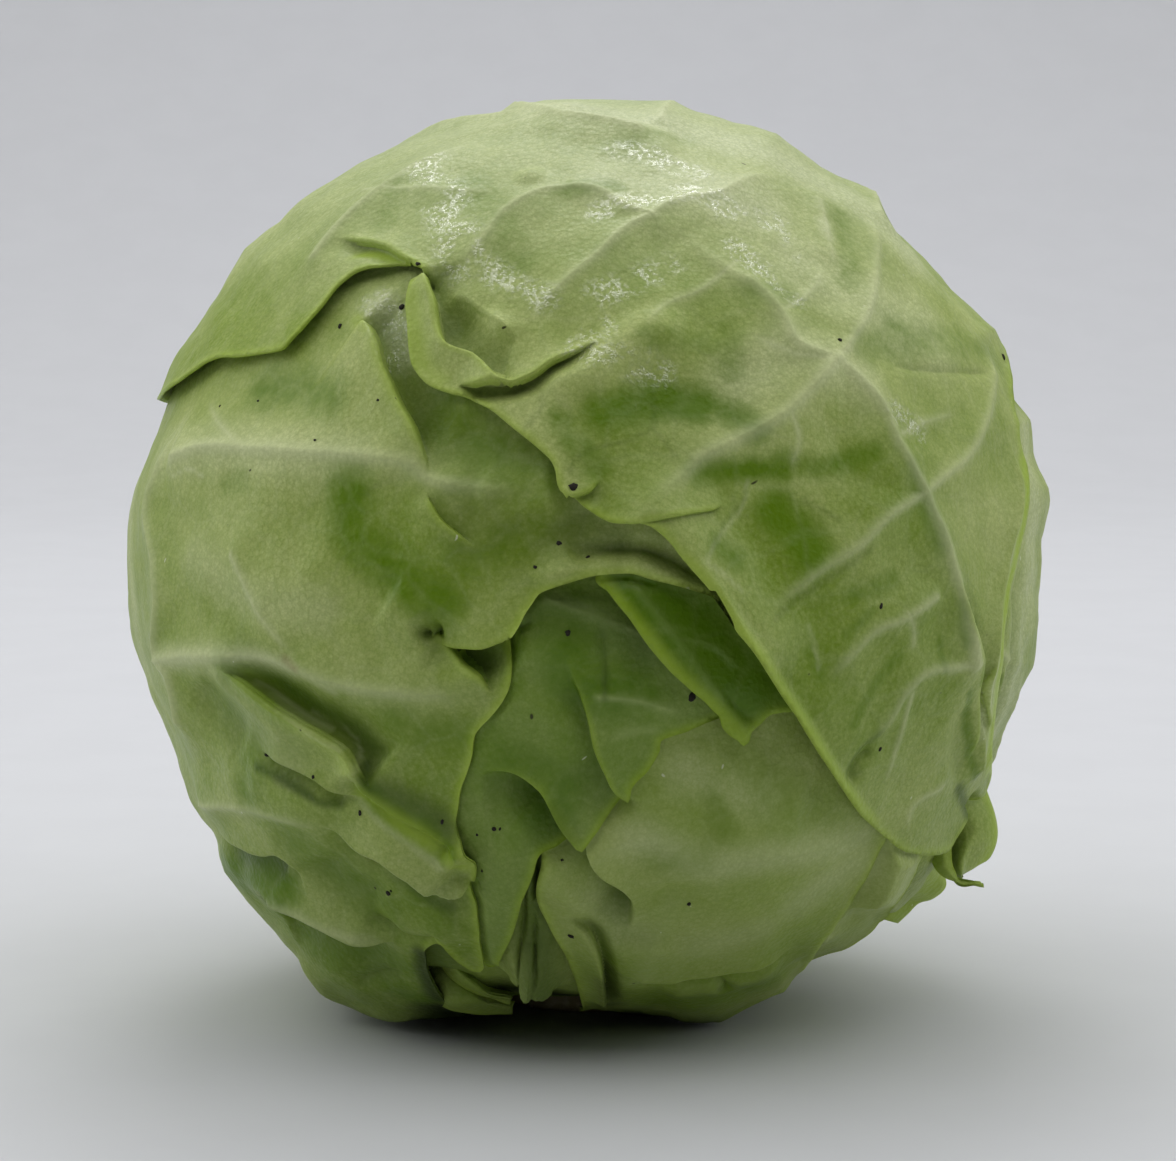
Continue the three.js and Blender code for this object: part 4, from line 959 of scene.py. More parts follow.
        hidden([(-24, -64), (-12, -76), (-30, -76), (-50, -76)]),
        [(740, 1000), (770, 930), (810, 860), (850, 800), (900, 800)],
    ], forms=[
        *veins(MIDRIB, [(815, 975), (850, 925), (890, 870), (905, 830)]),
        *veins(BRANCH, [(830, 950), (845, 900), (850, 850)]),
        ridge(3.2, 11, [(918, 850), (916, 868), (902, 892), (884, 918), (862, 936)], (0, 0.3)),
    ]),
    # The leaf along the right edge
    Leaf("leaf_right", "outer_leaf", 61, quilt=0.35, outline=[
        [(905, 775), (893, 825), (886, 862), (880, 888), (872, 905), (862, 918)],
        hidden([(-22, -66), (-20, -76), (0, -76), (22, -76), (36, -66), (44, -54), (50, -40), (55, -24),
            (53, -8), (57, 8), (52, 24), (42, 36), (24, 48)]),
        [(965, 330), (950, 420), (945, 520), (935, 620), (925, 720)],
    ], forms=[
        ridge(1.0, 4, [(1016, 400), (1030, 470), (1030, 540), (1018, 600), (1010, 680)]),
        ridge(-0.8, 3.5, [(1024, 560), (1016, 620), (1002, 690), (990, 740)]),
        crease(0.6, 2.5, [(1008, 660), (1005, 690), (995, 730)]),
        *veins(BRANCH, [(1003, 640), (1016, 660), (1028, 660)]),
        *veins(RIB, hidden([(8, -74), (11, -55), (12, -40)])),
        *veins(MIDRIB, hidden([(12, -40), (16, -10), (20, 20), (18, 44)])),
        *veins(BRANCH, hidden([(12, -40), (30, -24), (46, -18)]), hidden([(16, -10), (32, 6), (50, 12)]),
            hidden([(18, 10), (30, 24), (42, 30)]), hidden([(12, -40), (0, -26), (-8, -12)])),
        *veins(TWIG, hidden([(30, -24), (36, -34), (44, -38)]), hidden([(32, 6), (38, -4), (48, -6)])),
    ], marks={
        "pale": [(0.85, 7, [(1030, 440), (1040, 500), (1034, 580), (1022, 660), (1000, 730)])],
        "rubbed": [(0.5, 1.6, [(1008, 560), (1000, 640), (995, 656), (1000, 682)])],
    }),
    # The leaf over the back, with the thick midrib
    Leaf("leaf_back", "outer_leaf", 71, quilt=0.45, outline=[
        hidden([(28, -76), (44, -76), (60, -76), (95, -76), (130, -76), (158, -76), (168, -50), (170, -15),
            (172, 20), (162, 46), (120, 60), (75, 62), (36, 56), (26, 30), (24, 0), (24, -30), (24, -58)]),
    ], forms=[
        *veins(RIB, hidden([(94, -75), (94, -50), (94, -30), (93, -8)])),
        *veins(UPPER_RIB, hidden([(93, -10), (93, 18), (92, 50)])),
        *veins(MIDRIB, hidden([(94, -58), (106, -46), (118, -30), (130, -6), (136, 10)]), hidden([(94, -54),
            (80, -44), (68, -30), (58, -12)]), hidden([(93, -24), (104, -10), (116, 8), (128, 34)]),
            hidden([(93, -20), (82, -6), (72, 10), (60, 32)])),
        *veins(BRANCH, hidden([(93, 10), (100, 22), (108, 40)]), hidden([(93, 14), (86, 26), (80, 42)])),
        *veins(TWIG, hidden([(106, -46), (118, -48), (132, -42)]), hidden([(118, -30), (128, -32),
            (138, -26)]), hidden([(104, -10), (116, -14), (128, -10)]), hidden([(116, 8), (126, 4),
            (134, 10)]), hidden([(80, -44), (70, -48), (58, -44)]), hidden([(82, -6), (70, -12),
            (60, -12)]), hidden([(72, 10), (64, 8), (56, 14)])),
        ridge(-0.7, 7, hidden([(104, -40), (116, -12), (124, 18)])),
        ridge(-0.6, 7, hidden([(84, -36), (74, -8), (66, 18)])),
    ], marks={
        "rubbed": [(0.7, 11, hidden([(112, -22), (118, -6)])), (0.6, 9, hidden([(74, -22), (72, -8)])),
            (0.6, 9, hidden([(84, 26), (100, 30)]))],
    }),
    # The pleated leaf base in the middle of the bottom
    Leaf("leaf_inner", "pale_leaf", 83, quilt=0.1, outline=[
        [(650, 860), (652, 930), (640, 1000)],
        hidden([(-78, -77.5), (-95, -77.5), (-112, -77.5)]),
        [(425, 1004), (400, 950), (430, 880), (480, 820), (540, 800), (600, 810)],
    ], forms=[
        swell(-1.2, 12, [(530, 925)]),
        swell(-3.2, 7, [(440, 975)]),
        strap(2.2, 1.5, [(516, 896), (513, 925), (509, 948), (509, 966), (510, 974)]),
        strap(2.4, 0.95, [(530, 872), (528, 900), (528, 930), (528, 965), (529, 992)]),
        strap(2.6, 1.45, [(538, 905), (541, 930), (546, 948), (550, 962), (549, 974)]),
        strap(1.8, 1.2, [(534, 968), (542, 974), (545, 983), (541, 993)]),
        strap(1.2, 1.0, [(552, 925), (562, 950), (570, 975), (574, 990)]),
        crease(-0.5, 0.8, [(528, 935), (528, 950), (529, 965)]),
        ridge(5.5, 9, hidden([(-60, -77), (-90, -77), (-120, -77)]), (0, 0)),
    ], marks={
        # painted shade between the pleats and in the notch
        "hollow": [(1.0, 5, [(536, 870), (535, 930), (545, 985)]), (1.0, 4, [(430, 956), (440, 985)])],
        # painted shade in the notch
        "dark_lines_and_shade": [(0.5, 1.5, [(440, 956), (456, 975), (470, 990)])],
        "shade": [(1.0, 7, [(420, 1000), (520, 1000), (620, 1010)])],
    }),
]


# Materials

class Nodes:
    """A small helper that adds nodes to a material and links them."""

    def __init__(self, name):
        self.material = bpy.data.materials.new(name)
        self.material.use_nodes = True
        self.tree = self.material.node_tree
        self.tree.nodes.clear()

    def put(self, socket, value):
        if hasattr(value, "is_output"):
            self.tree.links.new(value, socket)
        else:
            socket.default_value = value

    def add(self, kind, inputs=None, **settings):
        node = self.tree.nodes.new(kind)
        for key, value in settings.items():
            setattr(node, key, value)
        for key, value in (inputs or {}).items():
            self.put(node.inputs[key], value)
        return node

    def place(self):
        return self.add("ShaderNodeTexCoord").outputs["Object"]

    def noise(self, where, scale, detail=3.0, roughness=0.55):
        made = self.add("ShaderNodeTexNoise", {"Vector": where, "Scale": scale, "Detail": detail,
                                                "Roughness": roughness})
        return made.outputs["Fac"]

    def cells(self, where, scale, feature="F1"):
        return self.add("ShaderNodeTexVoronoi", {"Vector": where, "Scale": scale}, feature=feature)

    def spots(self, where, scale, centre, rim, channel, fewest):
        """Round spots in the middle of some of the cells, chosen by a channel of the cells' colours."""
        made = self.cells(where, scale)
        chance = self.add("ShaderNodeSeparateColor", {0: made.outputs["Color"]}).outputs[channel]
        return self.times(self.span(made.outputs["Distance"], centre, rim, 1, 0), self.span(chance, *fewest))

    def span(self, value, low, high, start=0.0, end=1.0):
        made = self.add("ShaderNodeMapRange", {"Value": value, "From Min": low, "From Max": high,
                                               "To Min": start, "To Max": end})
        made.clamp = True
        return made.outputs["Result"]

    def mix(self, share, first, second):
        made = self.add("ShaderNodeMix", {0: share, 6: first, 7: second}, data_type="RGBA")
        return made.outputs[2]

    def maths(self, operation, first, second):
        return self.add("ShaderNodeMath", {0: first, 1: second}, operation=operation).outputs[0]

    def plus(self, first, second):
        return self.maths("ADD", first, second)

    def minus(self, first, second):
        return self.maths("SUBTRACT", first, second)

    def times(self, first, second):
        return self.maths("MULTIPLY", first, second)

    def vector(self, operation, first, second):
        return self.add("ShaderNodeVectorMath", {0: first, 1: second}, operation=operation).outputs[0]

    def attribute(self, name):
        return self.add("ShaderNodeAttribute", attribute_name=name).outputs["Fac"]

    def bumps(self, height, strength, distance):
        made = self.add("ShaderNodeBump", {"Height": height, "Strength": strength, "Distance": distance})
        return made.outputs[0]

    def finish(self, shader):
        self.add("ShaderNodeOutputMaterial", {"Surface": shader.outputs[0]})
        return self.material


def colour(red, green, blue):
    """A colour given as on a screen, 0 to 255."""
    def linear(value):
        value /= 255
        return value / 12.92 if value <= 0.04045 else ((value + 0.055) / 1.055) ** 2.4
    return (linear(red), linear(green), linear(blue), 1)


PALE_TINT = colour(220, 226, 190)
TOP_BLOOM_AND_SHEEN = colour(222, 226, 202)
BROWN = colour(120, 96, 58)
SHADE = colour(26, 36, 12)
FLECK = colour(226, 230, 204)
CRUMB = colour(44, 40, 22)
SOIL_TINT = colour(34, 30, 18)

# Share of wax bloom, and the colours of bloom, skin, rubbed skin, the painted shade of deep folds, veins,
# and the painted highlight of edges and fold crests
LEAF_COLOURS = {
    "outer_leaf": (0.55, (190, 201, 128), (128, 152, 48), (94, 126, 10), (62, 88, 16), (212, 218, 172),
                   (164, 190, 64)),
    "shaded_leaf": (0.4, (156, 172, 100), (114, 144, 42), (84, 118, 12), (56, 82, 12), (180, 194, 128),
                    (156, 184, 50)),
    "pale_leaf": (0.55, (180, 192, 118), (142, 166, 66), (110, 138, 32), (66, 90, 20), (200, 210, 154),
                  (164, 188, 72)),
}


def leaf_material(name, bloom_share, bloom, skin, rubbed, deep, veined, rim):
    """Wax bloom over the skin, then the painted masks, with painted shade in folds and painted highlights on
    edges and crests, and a wet film where that mask has spots.
    """
    m = Nodes(name)
    where = m.place()
    clouds = m.noise(where, 45, 5, 0.62)
    blots = m.noise(where, 190, 3, 0.6)
    specks = m.noise(where, 600, 3, 0.6)
    grain = m.noise(where, 1500, 2, 0.6)
    pores = m.noise(where, 3600, 1, 0.5)
    wobble = m.add("ShaderNodeTexNoise", {"Vector": where, "Scale": 130.0}).outputs["Color"]
    bent = m.vector("ADD", where, m.vector("MULTIPLY", wobble, (0.006, 0.006, 0.006)))
    flecks = m.spots(m.vector("MULTIPLY", bent, (1.0, 1.0, 0.4)), 300.0, 0.03, 0.05, 0, (0.72, 0.74))
    crumbs = m.spots(bent, 210.0, 0.035, 0.06, 1, (0.93, 0.94))
    net = m.span(m.cells(bent, 135.0, "DISTANCE_TO_EDGE").outputs["Distance"], 0.0, 0.09, 1, 0)
    pebbles = m.cells(where, 1250.0).outputs["Distance"]
    height = m.add("ShaderNodeSeparateXYZ", {0: where}).outputs["Z"]

    low, high = bloom_share - 0.4, bloom_share + 0.35
    bloom_amount = m.span(m.plus(clouds, m.times(blots, 0.3)), 0.48, 0.80, low, high)
    more = m.times(m.minus(m.attribute("pale"), m.attribute("lush")), 0.55)
    rub = m.attribute("rubbed")
    uneven = m.plus(m.minus(blots, 0.5), m.minus(specks, 0.5))
    ragged_rub = m.plus(rub, m.times(uneven, m.span(rub, 0.0, 0.3, 0, 0.6)))
    base = m.mix(m.span(m.plus(bloom_amount, more), 0, 1), skin, bloom)
    for share, tint in (
        (m.times(m.attribute("pale"), 0.45), PALE_TINT),
        (m.times(m.attribute("lush"), 0.35), rubbed),
        # lighter towards the top: wax bloom with a painted sheen
        (m.span(height, 0.1, 0.13, 0, 0.42), TOP_BLOOM_AND_SHEEN),
        # greener and darker towards the bottom
        (m.span(height, 0.01, 0.085, 0.34, 0), rubbed),
        # crests paler: wax bloom with a painted highlight
        (m.times(m.attribute("raised"), 0.32), bloom),
        (m.span(grain, 0.35, 0.65, 0.0, 0.2), bloom),
        (m.span(ragged_rub, 0.1, 0.85), rubbed),
        (m.times(net, 0.07), veined),
        (m.span(pores, 0.35, 0.65, 0.0, 0.22), rubbed),
        (m.span(pebbles, 0.3, 0.6, 0.0, 0.16), rubbed),
        # painted shade in the folds' hollows
        (m.times(m.attribute("hollow"), 0.75), deep),
        (m.times(m.attribute("vein"), 0.45), veined),
        # painted highlight along edges and fold crests
        (m.times(m.attribute("edge"), 0.8), rim),
        # dark vein lines, and painted shade in grooves and crevices
        (m.times(m.attribute("dark_lines_and_shade"), 0.8), deep),
        (m.times(m.attribute("brown"), 0.8), BROWN),
        (m.times(m.attribute("shade"), 0.9), SHADE),
        (m.times(flecks, 0.55), FLECK),
        (m.times(crumbs, 0.9), CRUMB),
    ):
        base = m.mix(share, base, tint)

    relief = m.plus(m.times(grain, 0.5), m.times(pebbles, 0.5))
    film = m.times(m.span(grain, 0.46, 0.54), m.span(blots, 0.4, 0.52))
    wet = m.times(film, m.attribute("wet"))
    rough = m.span(m.plus(blots, m.times(rub, -0.25)), 0.2, 0.8, 0.36, 0.56)
    rough = m.maths("MAXIMUM", m.minus(rough, m.times(wet, 0.4)), 0.07)
    shader = m.add("ShaderNodeBsdfPrincipled", {
        "Base Color": base, "Roughness": rough, "Normal": m.bumps(relief, 0.8, 0.00018),
        "Coat Weight": wet, "Coat Normal": m.bumps(grain, 1.0, 0.0005)})
    shader.inputs["Specular IOR Level"].default_value = 0.2
    shader.inputs["Coat Roughness"].default_value = 0.06
    shader.inputs["Coat IOR"].default_value = 2.7
    return m.finish(shader)


def stem_material():
    m = Nodes("cut_stem")
    where = m.place()
    fibres = m.noise(where, 900, 3, 0.6)
    blots = m.noise(where, 160, 4, 0.6)
    base = m.mix(m.span(blots, 0.35, 0.7), colour(214, 205, 165), colour(190, 174, 122))
    base = m.mix(m.times(m.attribute("rim"), 0.8), base, colour(138, 112, 66))
    base = m.mix(m.span(fibres, 0.5, 0.8, 0, 0.5), base, colour(232, 226, 196))
    shader = m.add("ShaderNodeBsdfPrincipled", {"Base Color": base, "Normal": m.bumps(fibres, 0.6, 0.0002)})
    shader.inputs["Roughness"].default_value = 0.8
    return m.finish(shader)


def table_material():
    m = Nodes("table")
    tone = m.mix(m.span(m.noise(m.place(), 40, 3), 0.4, 0.6), TABLE_TINT, TABLE_CLOUD)
    shader = m.add("ShaderNodeBsdfPrincipled", {"Base Color": tone})
    shader.inputs["Roughness"].default_value = 0.85
    return m.finish(shader)


def soil_material():
    m = Nodes("soil")
    shader = m.add("ShaderNodeBsdfPrincipled")
    shader.inputs["Base Color"].default_value = SOIL_TINT
    shader.inputs["Roughness"].default_value = 0.9
    return m.finish(shader)


MATERIALS = {name: leaf_material(name, share, *[colour(*tint) for tint in tints])
             for name, (share, *tints) in LEAF_COLOURS.items()}


# Torn edges and pleats: their leaf, slot, seed, free sides and painted highlight on the rim, and rows of
# points in the front view with their depth in mm before the head's centre
TORN_EDGES = {
    # The crown leaf's tip at the lower right: an ear that bulges out, and a curled strip beside it
    "leaf_crown_ear": ("leaf_crown", "outer_leaf", 101, ["right"], 0.1, [
        [(941, 782, 24), (952, 781, 21.5), (960, 780, 17.5), (970, 778, 13), (981, 777, 9)],
        [(940, 797, 22), (951, 797, 20), (962, 795, 17.5), (974, 793, 14.5), (986, 795, 10.5)],
        [(941, 812, 18.5), (953, 812, 17), (966, 810, 17), (981, 809, 15), (992, 812, 11)],
        [(943, 828, 14), (956, 828, 15.5), (967, 828, 16.2), (982, 827, 15.5), (994, 829, 11)],
        [(940, 846, 12), (951, 845, 14.8), (966, 845, 17), (982, 845, 15.5), (993, 846, 11)],
        [(942, 861, 12.5), (951, 861, 14.8), (962, 861, 17), (976, 860, 15.5), (989, 860, 11.5)],
        [(949, 875, 13), (955, 874, 15), (962, 874, 16.5), (970, 872, 15.2), (978, 869, 12.5)],
        [(956, 883, 13), (959, 881, 14.3), (961, 880, 15), (964, 878, 14.8), (967, 875, 13)],
    ]),
    "leaf_crown_curl": ("leaf_crown", "outer_leaf", 103, ["left", "right", "end"], 0.5, [
        [(926, 824, 18), (936, 820, 17.6), (947, 820, 15)],
        [(929, 836, 16), (938, 833, 16.8), (949, 832, 15)],
        [(931, 848, 15), (941, 846, 16.8), (950, 843, 16)],
        [(933, 858, 15.5), (942, 857, 17), (951, 855, 16.4)],
        [(936, 868, 16), (944, 867, 17.3), (953, 865, 16.7)],
        [(943, 877, 16.3), (950, 874, 17.3), (957, 872, 16.7)],
        [(952, 883, 16.4), (956, 880, 17.2), (960, 878, 16.6)],
        [(962, 886, 16.2), (963, 883, 16.8), (964, 880, 16.2)],
        [(974, 886.5, 15.8), (974, 883.5, 16.4), (974, 880, 15.8)],
        [(984, 887, 15.5), (983, 885, 16), (980, 881.5, 15.5)],
    ]),
    # The right leaf's lower margin
    "leaf_right_margin": ("leaf_right", "outer_leaf", 107, ["right", "end"], 0.75, [
        [(906, 836, 10), (920, 838, 14), (936, 840, 9)],
        [(902, 855, 10), (921, 859, 15.5), (942, 864, 8)],
        [(898, 872, 9), (919, 876, 14.5), (945, 884, 5)],
        [(892, 884, 7), (913, 889, 10), (933, 895, 3)],
        [(886, 894, 6), (903, 900, 5.5), (918, 901, 2.5)],
        [(878, 904, 6.5), (894, 911, 5.5), (907, 913, 2)],
        [(870, 914, 6.5), (886, 921, 5.5), (899, 924, 2)],
    ]),
    # Two pleats of the inner leaf, seen in the notch of the left leaf
    "leaf_inner_pleat_a": ("leaf_inner", "pale_leaf", 109, ["left", "right"], 0.0, [
        [(427, 950, 26), (434, 944, 29), (440, 941, 26)],
        [(438, 965, 27), (446, 957, 30), (453, 952, 27)],
        [(452, 981, 27.5), (460, 973, 30.5), (467, 967, 27.5)],
        [(468, 993, 27), (475, 985, 29.5), (480, 979, 26)],
        [(486, 1000, 25.5), (490, 994, 27.5), (494, 988, 24)],
        [(510, 1003, 22), (512, 998, 24), (514, 994, 21)],
    ]),
    "leaf_inner_pleat_b": ("leaf_inner", "pale_leaf", 111, ["left", "right"], 0.0, [
        [(420, 965, 20), (428, 958, 22), (436, 953, 22)],
        [(424, 988, 20), (438, 977, 25), (448, 969, 25)],
        [(438, 1004, 21), (453, 992, 26), (462, 983, 26)],
        [(458, 1010, 22), (470, 1000, 26.5), (477, 993, 25.5)],
        [(484, 1012, 21), (488, 1005, 24.5), (492, 998, 23)],
        [(512, 1012, 19), (513, 1007, 21), (514, 1002, 20)],
    ]),
}
TORN_RIM = 0.12


def before_centre(points):
    """Places at points of the front view that lie this many mm before the head's centre."""
    points = np.asarray(points, float)
    rays = sight(points[:, :2])
    along = (-points[:, 2] - eye @ forward) / (rays @ forward)
    return eye + along[:, None] * rays


def spline(rows):
    """Points on smooth lines through the rows."""
    knots = np.concatenate([[2 * rows[0] - rows[1]], rows, [2 * rows[-1] - rows[-2]]])
    made = []
    for p0, p1, p2, p3 in zip(knots, knots[1:], knots[2:], knots[3:]):
        for t in np.arange(TORN_PIECES) / TORN_PIECES:
            made.append(0.5 * (2 * p1 + (p2 - p0) * t + (2 * p0 - 5 * p1 + 4 * p2 - p3) * t**2
                               + (3 * p1 - p0 - 3 * p2 + p3) * t**3))
    return np.array(made + [rows[-1]])


def torn_edge(name, node, slot, seed, free, rim, rows):
    """A thin sheet through rows of points, with a painted highlight on its free sides and the rim's share of
    it over the whole sheet.
    """
    deep = len(rows)
    rows = np.array([before_centre(row) for row in rows])
    sheet = spline(spline(rows).transpose(1, 0, 2)).transpose(1, 0, 2)
    down, over = sheet.shape[:2]
    outward = unit(np.cross(np.gradient(sheet, axis=1), np.gradient(sheet, axis=0)))
    outward *= np.where(outward @ forward > 0, -1, 1)[..., None]
    places = sheet.reshape(-1, 3) / SIDE_RADIUS
    shift = 0.35 * waves(places, seed, 7) + 0.12 * waves(places, seed + 1, 3)
    sheet = sheet + outward * shift.reshape(down, over, 1)
    skins = [side.reshape(-1, 3) + rise_to_centre for side in (sheet, sheet - TORN_SHEET * outward)]
    index = np.arange(down * over).reshape(down, over)
    a, b, c, d = (part.ravel() for part in (index[:-1, :-1], index[:-1, 1:], index[1:, 1:], index[1:, :-1]))
    faces = np.vstack([np.stack([a, d, c], 1), np.stack([a, c, b], 1)])
    loop = np.concatenate([index[1:, 0], index[-1, 1:], index[-2::-1, -1], index[0, -2::-1]])
    triangles = walled(faces, faces, loop, down * over)
    across = np.tile(np.linspace(0, 1, over), down)
    length = np.repeat(np.linspace(0, 1, down), over)
    edges = {"right": 1 - across, "left": across, "end": (1 - length) * deep / 3}
    nearest = np.min([edges[side] for side in free], axis=0)
    masks = {mask: np.zeros(2 * down * over) for mask in MASKS}
    # painted highlight: the rim's share over the whole sheet, full along its free sides
    masks["edge"] = np.tile(np.maximum(rim, np.exp(-((nearest / TORN_RIM) ** 2))), 2)
    piece = mesh_object(name, in_box(np.vstack(skins)), triangles, MATERIALS[slot], masks)
    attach(piece, "root")
    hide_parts(node)


# Crumbs of soil on the front, each at a point of the front view with its half-width in mm
SOIL = [
    (418, 264, 0.35), (402, 307, 0.45), (573, 487, 0.55), (692, 697, 0.55), (568, 633, 0.35),
    (535, 567, 0.25), (494, 829, 0.35), (500, 829, 0.2), (571, 936, 0.4), (388, 893, 0.4),
    (391, 891, 0.2), (360, 813, 0.3), (267, 755, 0.3), (220, 406, 0.2), (315, 440, 0.22),
    (258, 401, 0.2), (1003, 357, 0.45), (840, 340, 0.3), (880, 749, 0.3), (689, 904, 0.3),
    (881, 606, 0.3), (340, 326, 0.35), (588, 557, 0.3), (559, 543, 0.35), (313, 777, 0.25),
    (477, 835, 0.2), (482, 871, 0.2), (562, 860, 0.2), (442, 822, 0.3), (378, 400, 0.2),
]
CRUMB_HEIGHT = 0.6
CRUMB_ROUGHNESS = 0.15
CRUMB_RINGS = [(1.0, -0.3), (0.95, 0.3), (0.75, 0.7), (0.4, 0.93)]
CRUMB_SIDES = 8


def soil_crumbs(blades):
    """Small rounded crumbs where sight through points of the front view meets the leaves."""
    trees = []
    for blade in blades:
        vertices = [vertex.co for vertex in blade.data.vertices]
        trees.append(BVHTree.FromPolygons(vertices, [face.vertices for face in blade.data.polygons]))
    from_eye = Vector((eye + rise_to_centre) / 1000)
    rng = np.random.default_rng(17)
    sides = CRUMB_SIDES
    places, triangles = [], []
    for (_, _, size), ray in zip(SOIL, sight([crumb[:2] for crumb in SOIL])):
        hits = [tree.ray_cast(from_eye, Vector(ray)) for tree in trees]
        place, normal, _, _ = min((hit for hit in hits if hit[0] is not None), key=lambda hit: hit[3])
        place, normal = np.array(place) * 1000, np.array(normal)
        normal = normal if normal @ ray < 0 else -normal
        first = unit(np.cross(normal, [0.3, 0.2, 1.0]))
        second = np.cross(normal, first)
        base = len(places)
        stretch = rng.uniform(0.7, 1.3)
        for wide, high in CRUMB_RINGS:
            for i in range(sides):
                turn = 2 * math.pi * i / sides
                reach = size * wide * (1 + CRUMB_ROUGHNESS * rng.normal())
                sideways = first * math.cos(turn) * stretch + second * math.sin(turn) / stretch
                places.append(place + sideways * reach + normal * size * high * CRUMB_HEIGHT)
        places.append(place + normal * size * CRUMB_HEIGHT)
        for ring in range(len(CRUMB_RINGS) - 1):
            for i in range(sides):
                a, b = base + ring * sides + i, base + ring * sides + (i + 1) % sides
                triangles += [(a, b, b + sides), (a, b + sides, a + sides)]
        last = base + (len(CRUMB_RINGS) - 1) * sides
        triangles += [(last + i, last + (i + 1) % sides, len(places) - 1) for i in range(sides)]
    piece = mesh_object("soil_crumbs", in_box(np.array(places)), triangles, soil_material())
    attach(piece, "root")


# The heart and the stem

def heart_piece():
    bpy.ops.mesh.primitive_ico_sphere_add(subdivisions=6, radius=1)
    ball = bpy.context.object
    where = unit(np.array([vertex.co[:] for vertex in ball.data.vertices]))
    triangles = np.array([polygon.vertices[:] for polygon in ball.data.polygons])
    bpy.data.objects.remove(ball)
    radius = base_radius(where) - HEART_DEPTH + HEART_SWELL * waves(where, 91, 14)
    radius = np.minimum(radius, ground_radius(where, HEART_FLOOR))
    points = where * radius[:, None] + rise_to_centre
    netted = np.clip(np.abs(waves(where, 92, 10)) * -3 + 1, 0, 1)
    masks = {mask: netted if mask == "vein" else np.zeros(len(where)) for mask in MASKS}
    piece = mesh_object("heart_leaves", points, triangles, MATERIALS["pale_leaf"], masks)
    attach(piece, "root")
    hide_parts("heart")


# The stalk's radius and height at each ring of points, from the middle of the cut face to the top
STEM_PROFILE = [
    (0.5, 0.0), (3.0, 0.0), (6.0, 0.0), (9.0, 0.0), (11.0, 0.0), (12.0, 0.0), (12.6, 0.15), (13.0, 0.7),
    (12.9, 1.6), (12.7, 3.0), (12.4, 5.0), (12.0, 7.0), (11.6, 8.2), (10.8, 9.0), (6.0, 9.0), (0.5, 9.0),
]
STEM_SIDES = 120
STEM_SHARE = 1 - 0.012
STEM_INSET = 0.35
BARK_ROUGHNESS = 0.07
RIM_START = 10.5


def stem_piece():
    sides = STEM_SIDES
    rng = np.random.default_rng(5)
    bark = rng.normal(0, BARK_ROUGHNESS, (len(STEM_PROFILE), sides))
    points = []
    rims = []
    for row, (radius, height) in enumerate(STEM_PROFILE):
        for i in range(sides):
            turn = 2 * math.pi * i / sides
            fluted = 0.22 * math.sin(5 * turn + 0.6) + 0.12 * math.sin(11 * turn)
            worn = (fluted - STEM_INSET + bark[row, i]) * min(radius / STEM_RADIUS, 1)
            wide = radius * STEM_SHARE + worn
            points.append((wide * math.cos(turn), wide * math.sin(turn), height))
            rims.append(np.clip((radius - RIM_START) / 2, 0, 1) if height < 0.5 else 0.6)
    triangles = []
    for row in range(len(STEM_PROFILE) - 1):
        for i in range(sides):
            a, b = row * sides + i, row * sides + (i + 1) % sides
            triangles += [(b, a, a + sides), (b, a + sides, b + sides)]
    points += [(0, 0, 0), (0, 0, STEM_HEIGHT)]
    rims += [0, 0]
    last = (len(STEM_PROFILE) - 1) * sides
    for i in range(sides):
        triangles.append((len(points) - 2, (i + 1) % sides, i))
        triangles.append((len(points) - 1, last + i, last + (i + 1) % sides))
    piece = mesh_object("stem_stalk", points, triangles, stem_material(), {"rim": rims})
    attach(piece, "root")
    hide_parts("stem")


# The stage

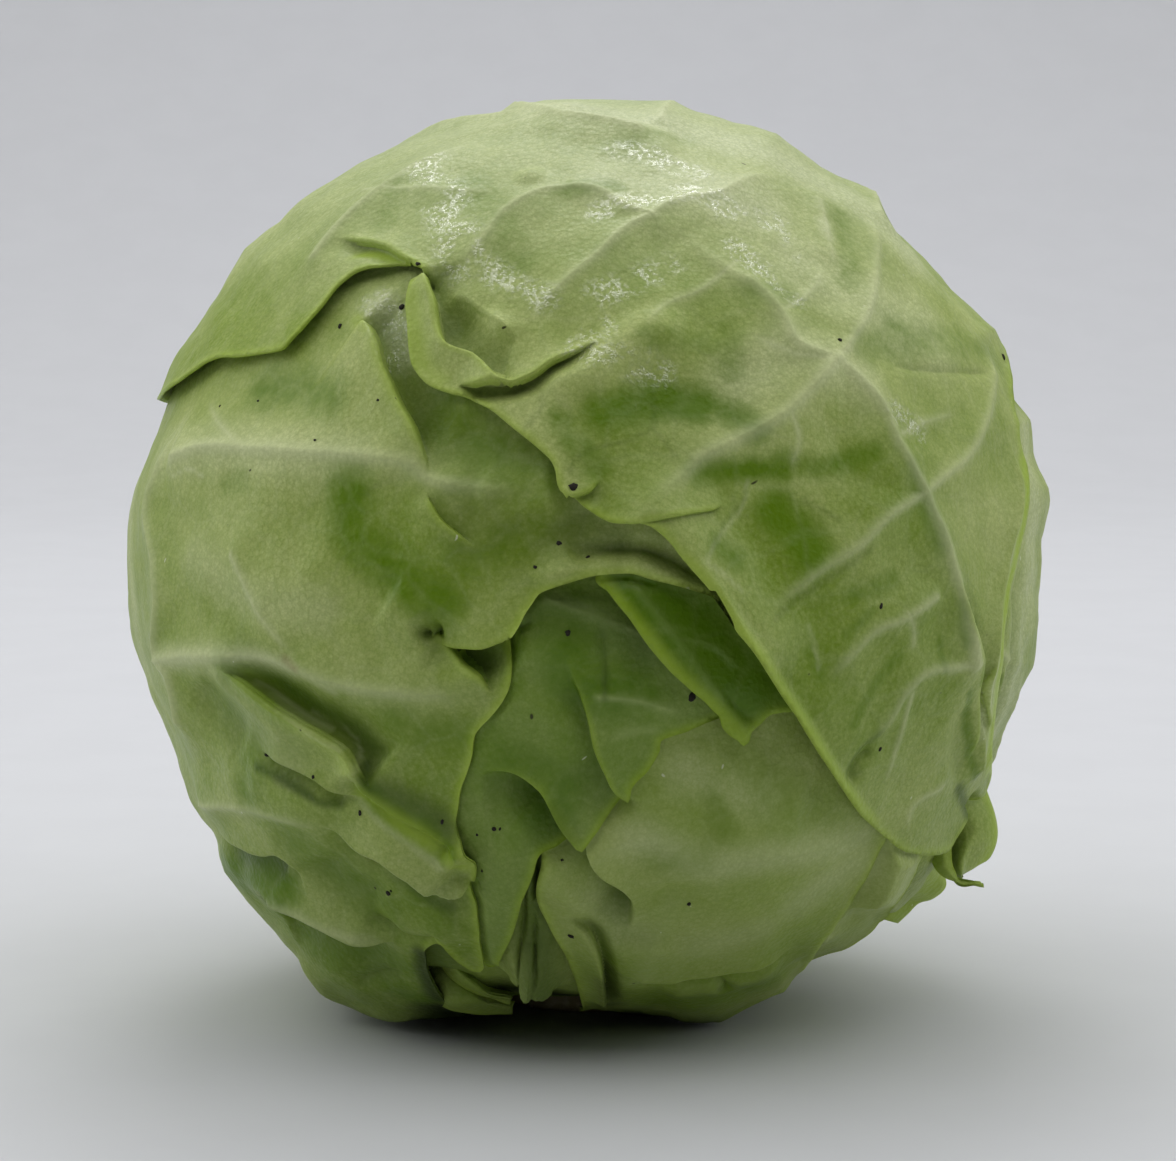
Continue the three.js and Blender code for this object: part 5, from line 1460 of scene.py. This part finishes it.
def stage_floor():
    """A pale table that sweeps up into the backdrop behind the head."""
    profile = [(-FLOOR_HALF, 0), (BEND_START, 0)]
    for i in range(1, BEND_PIECES + 1):
        turn = math.pi / 2 * i / BEND_PIECES
        profile.append((BEND_START + BEND_RADIUS * math.sin(turn), BEND_RADIUS * (1 - math.cos(turn))))
    profile.append((BEND_START + BEND_RADIUS, BACKDROP_HEIGHT))
    points = []
    for y, z in profile:
        points += [(-FLOOR_HALF, y, z), (FLOOR_HALF, y, z)]
    triangles = []
    for a in range(0, len(points) - 2, 2):
        triangles += [(a, a + 1, a + 3), (a, a + 3, a + 2)]
    floor = mesh_object("floor", points, triangles, table_material())
    floor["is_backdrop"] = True


def area_light(name, place, size, watts, tint):
    """A panel that shines at the head, with its place and size in m."""
    data = bpy.data.lights.new(name, "AREA")
    data.shape = "RECTANGLE"
    data.size, data.size_y = size
    data.energy = watts
    data.color = tint
    lamp = bpy.data.objects.new(name, data)
    lamp.location = place
    lamp.rotation_euler = (Vector(LIGHT_AIM) - Vector(place)).to_track_quat("-Z", "Y").to_euler()
    bpy.context.scene.collection.objects.link(lamp)


def lights():
    area_light("overhead", (0, 0, 1.3), (2.6, 2.6), 27.5, (1, 0.995, 0.98))
    area_light("overhead_behind", (0, 0.6, 1.0), (0.5, 0.4), 2.4, (1, 1, 1))
    area_light("left_panel", (-1.1, 0.1, 0.5), (0.9, 0.9), 4.4, (0.98, 0.99, 1))
    area_light("right_panel", (1.1, 0.1, 0.5), (0.9, 0.9), 3.6, (0.98, 0.99, 1))
    world = bpy.data.worlds.new("room")
    world.use_nodes = True
    background = world.node_tree.nodes["Background"]
    background.inputs[0].default_value = (0.97, 0.98, 1, 1)
    background.inputs[1].default_value = 0.01
    bpy.context.scene.world = world


def camera():
    data = bpy.data.cameras.new("camera")
    data.sensor_width = SENSOR
    data.lens = VIEW_DISTANCE / VIEW_UNIT / PICTURE_WIDTH * SENSOR
    data.clip_start, data.clip_end = 0.01, 20
    made = bpy.data.objects.new("camera", data)
    place = (eye + rise_to_centre) / 1000
    turn = Matrix([right, up, -forward]).transposed()
    made.matrix_world = Matrix.Translation(place) @ turn.to_4x4()
    bpy.context.scene.collection.objects.link(made)
    bpy.context.scene.camera = made


def main():
    camera()
    stage_floor()
    lights()
    blades = [leaf_piece(order, MATERIALS[leaf.slot]) for order, leaf in enumerate(LEAVES)]
    soil_crumbs(blades)
    for name, edge in TORN_EDGES.items():
        torn_edge(name, *edge)
    heart_piece()
    stem_piece()
    bpy.context.scene.view_settings.view_transform = "Standard"


main()
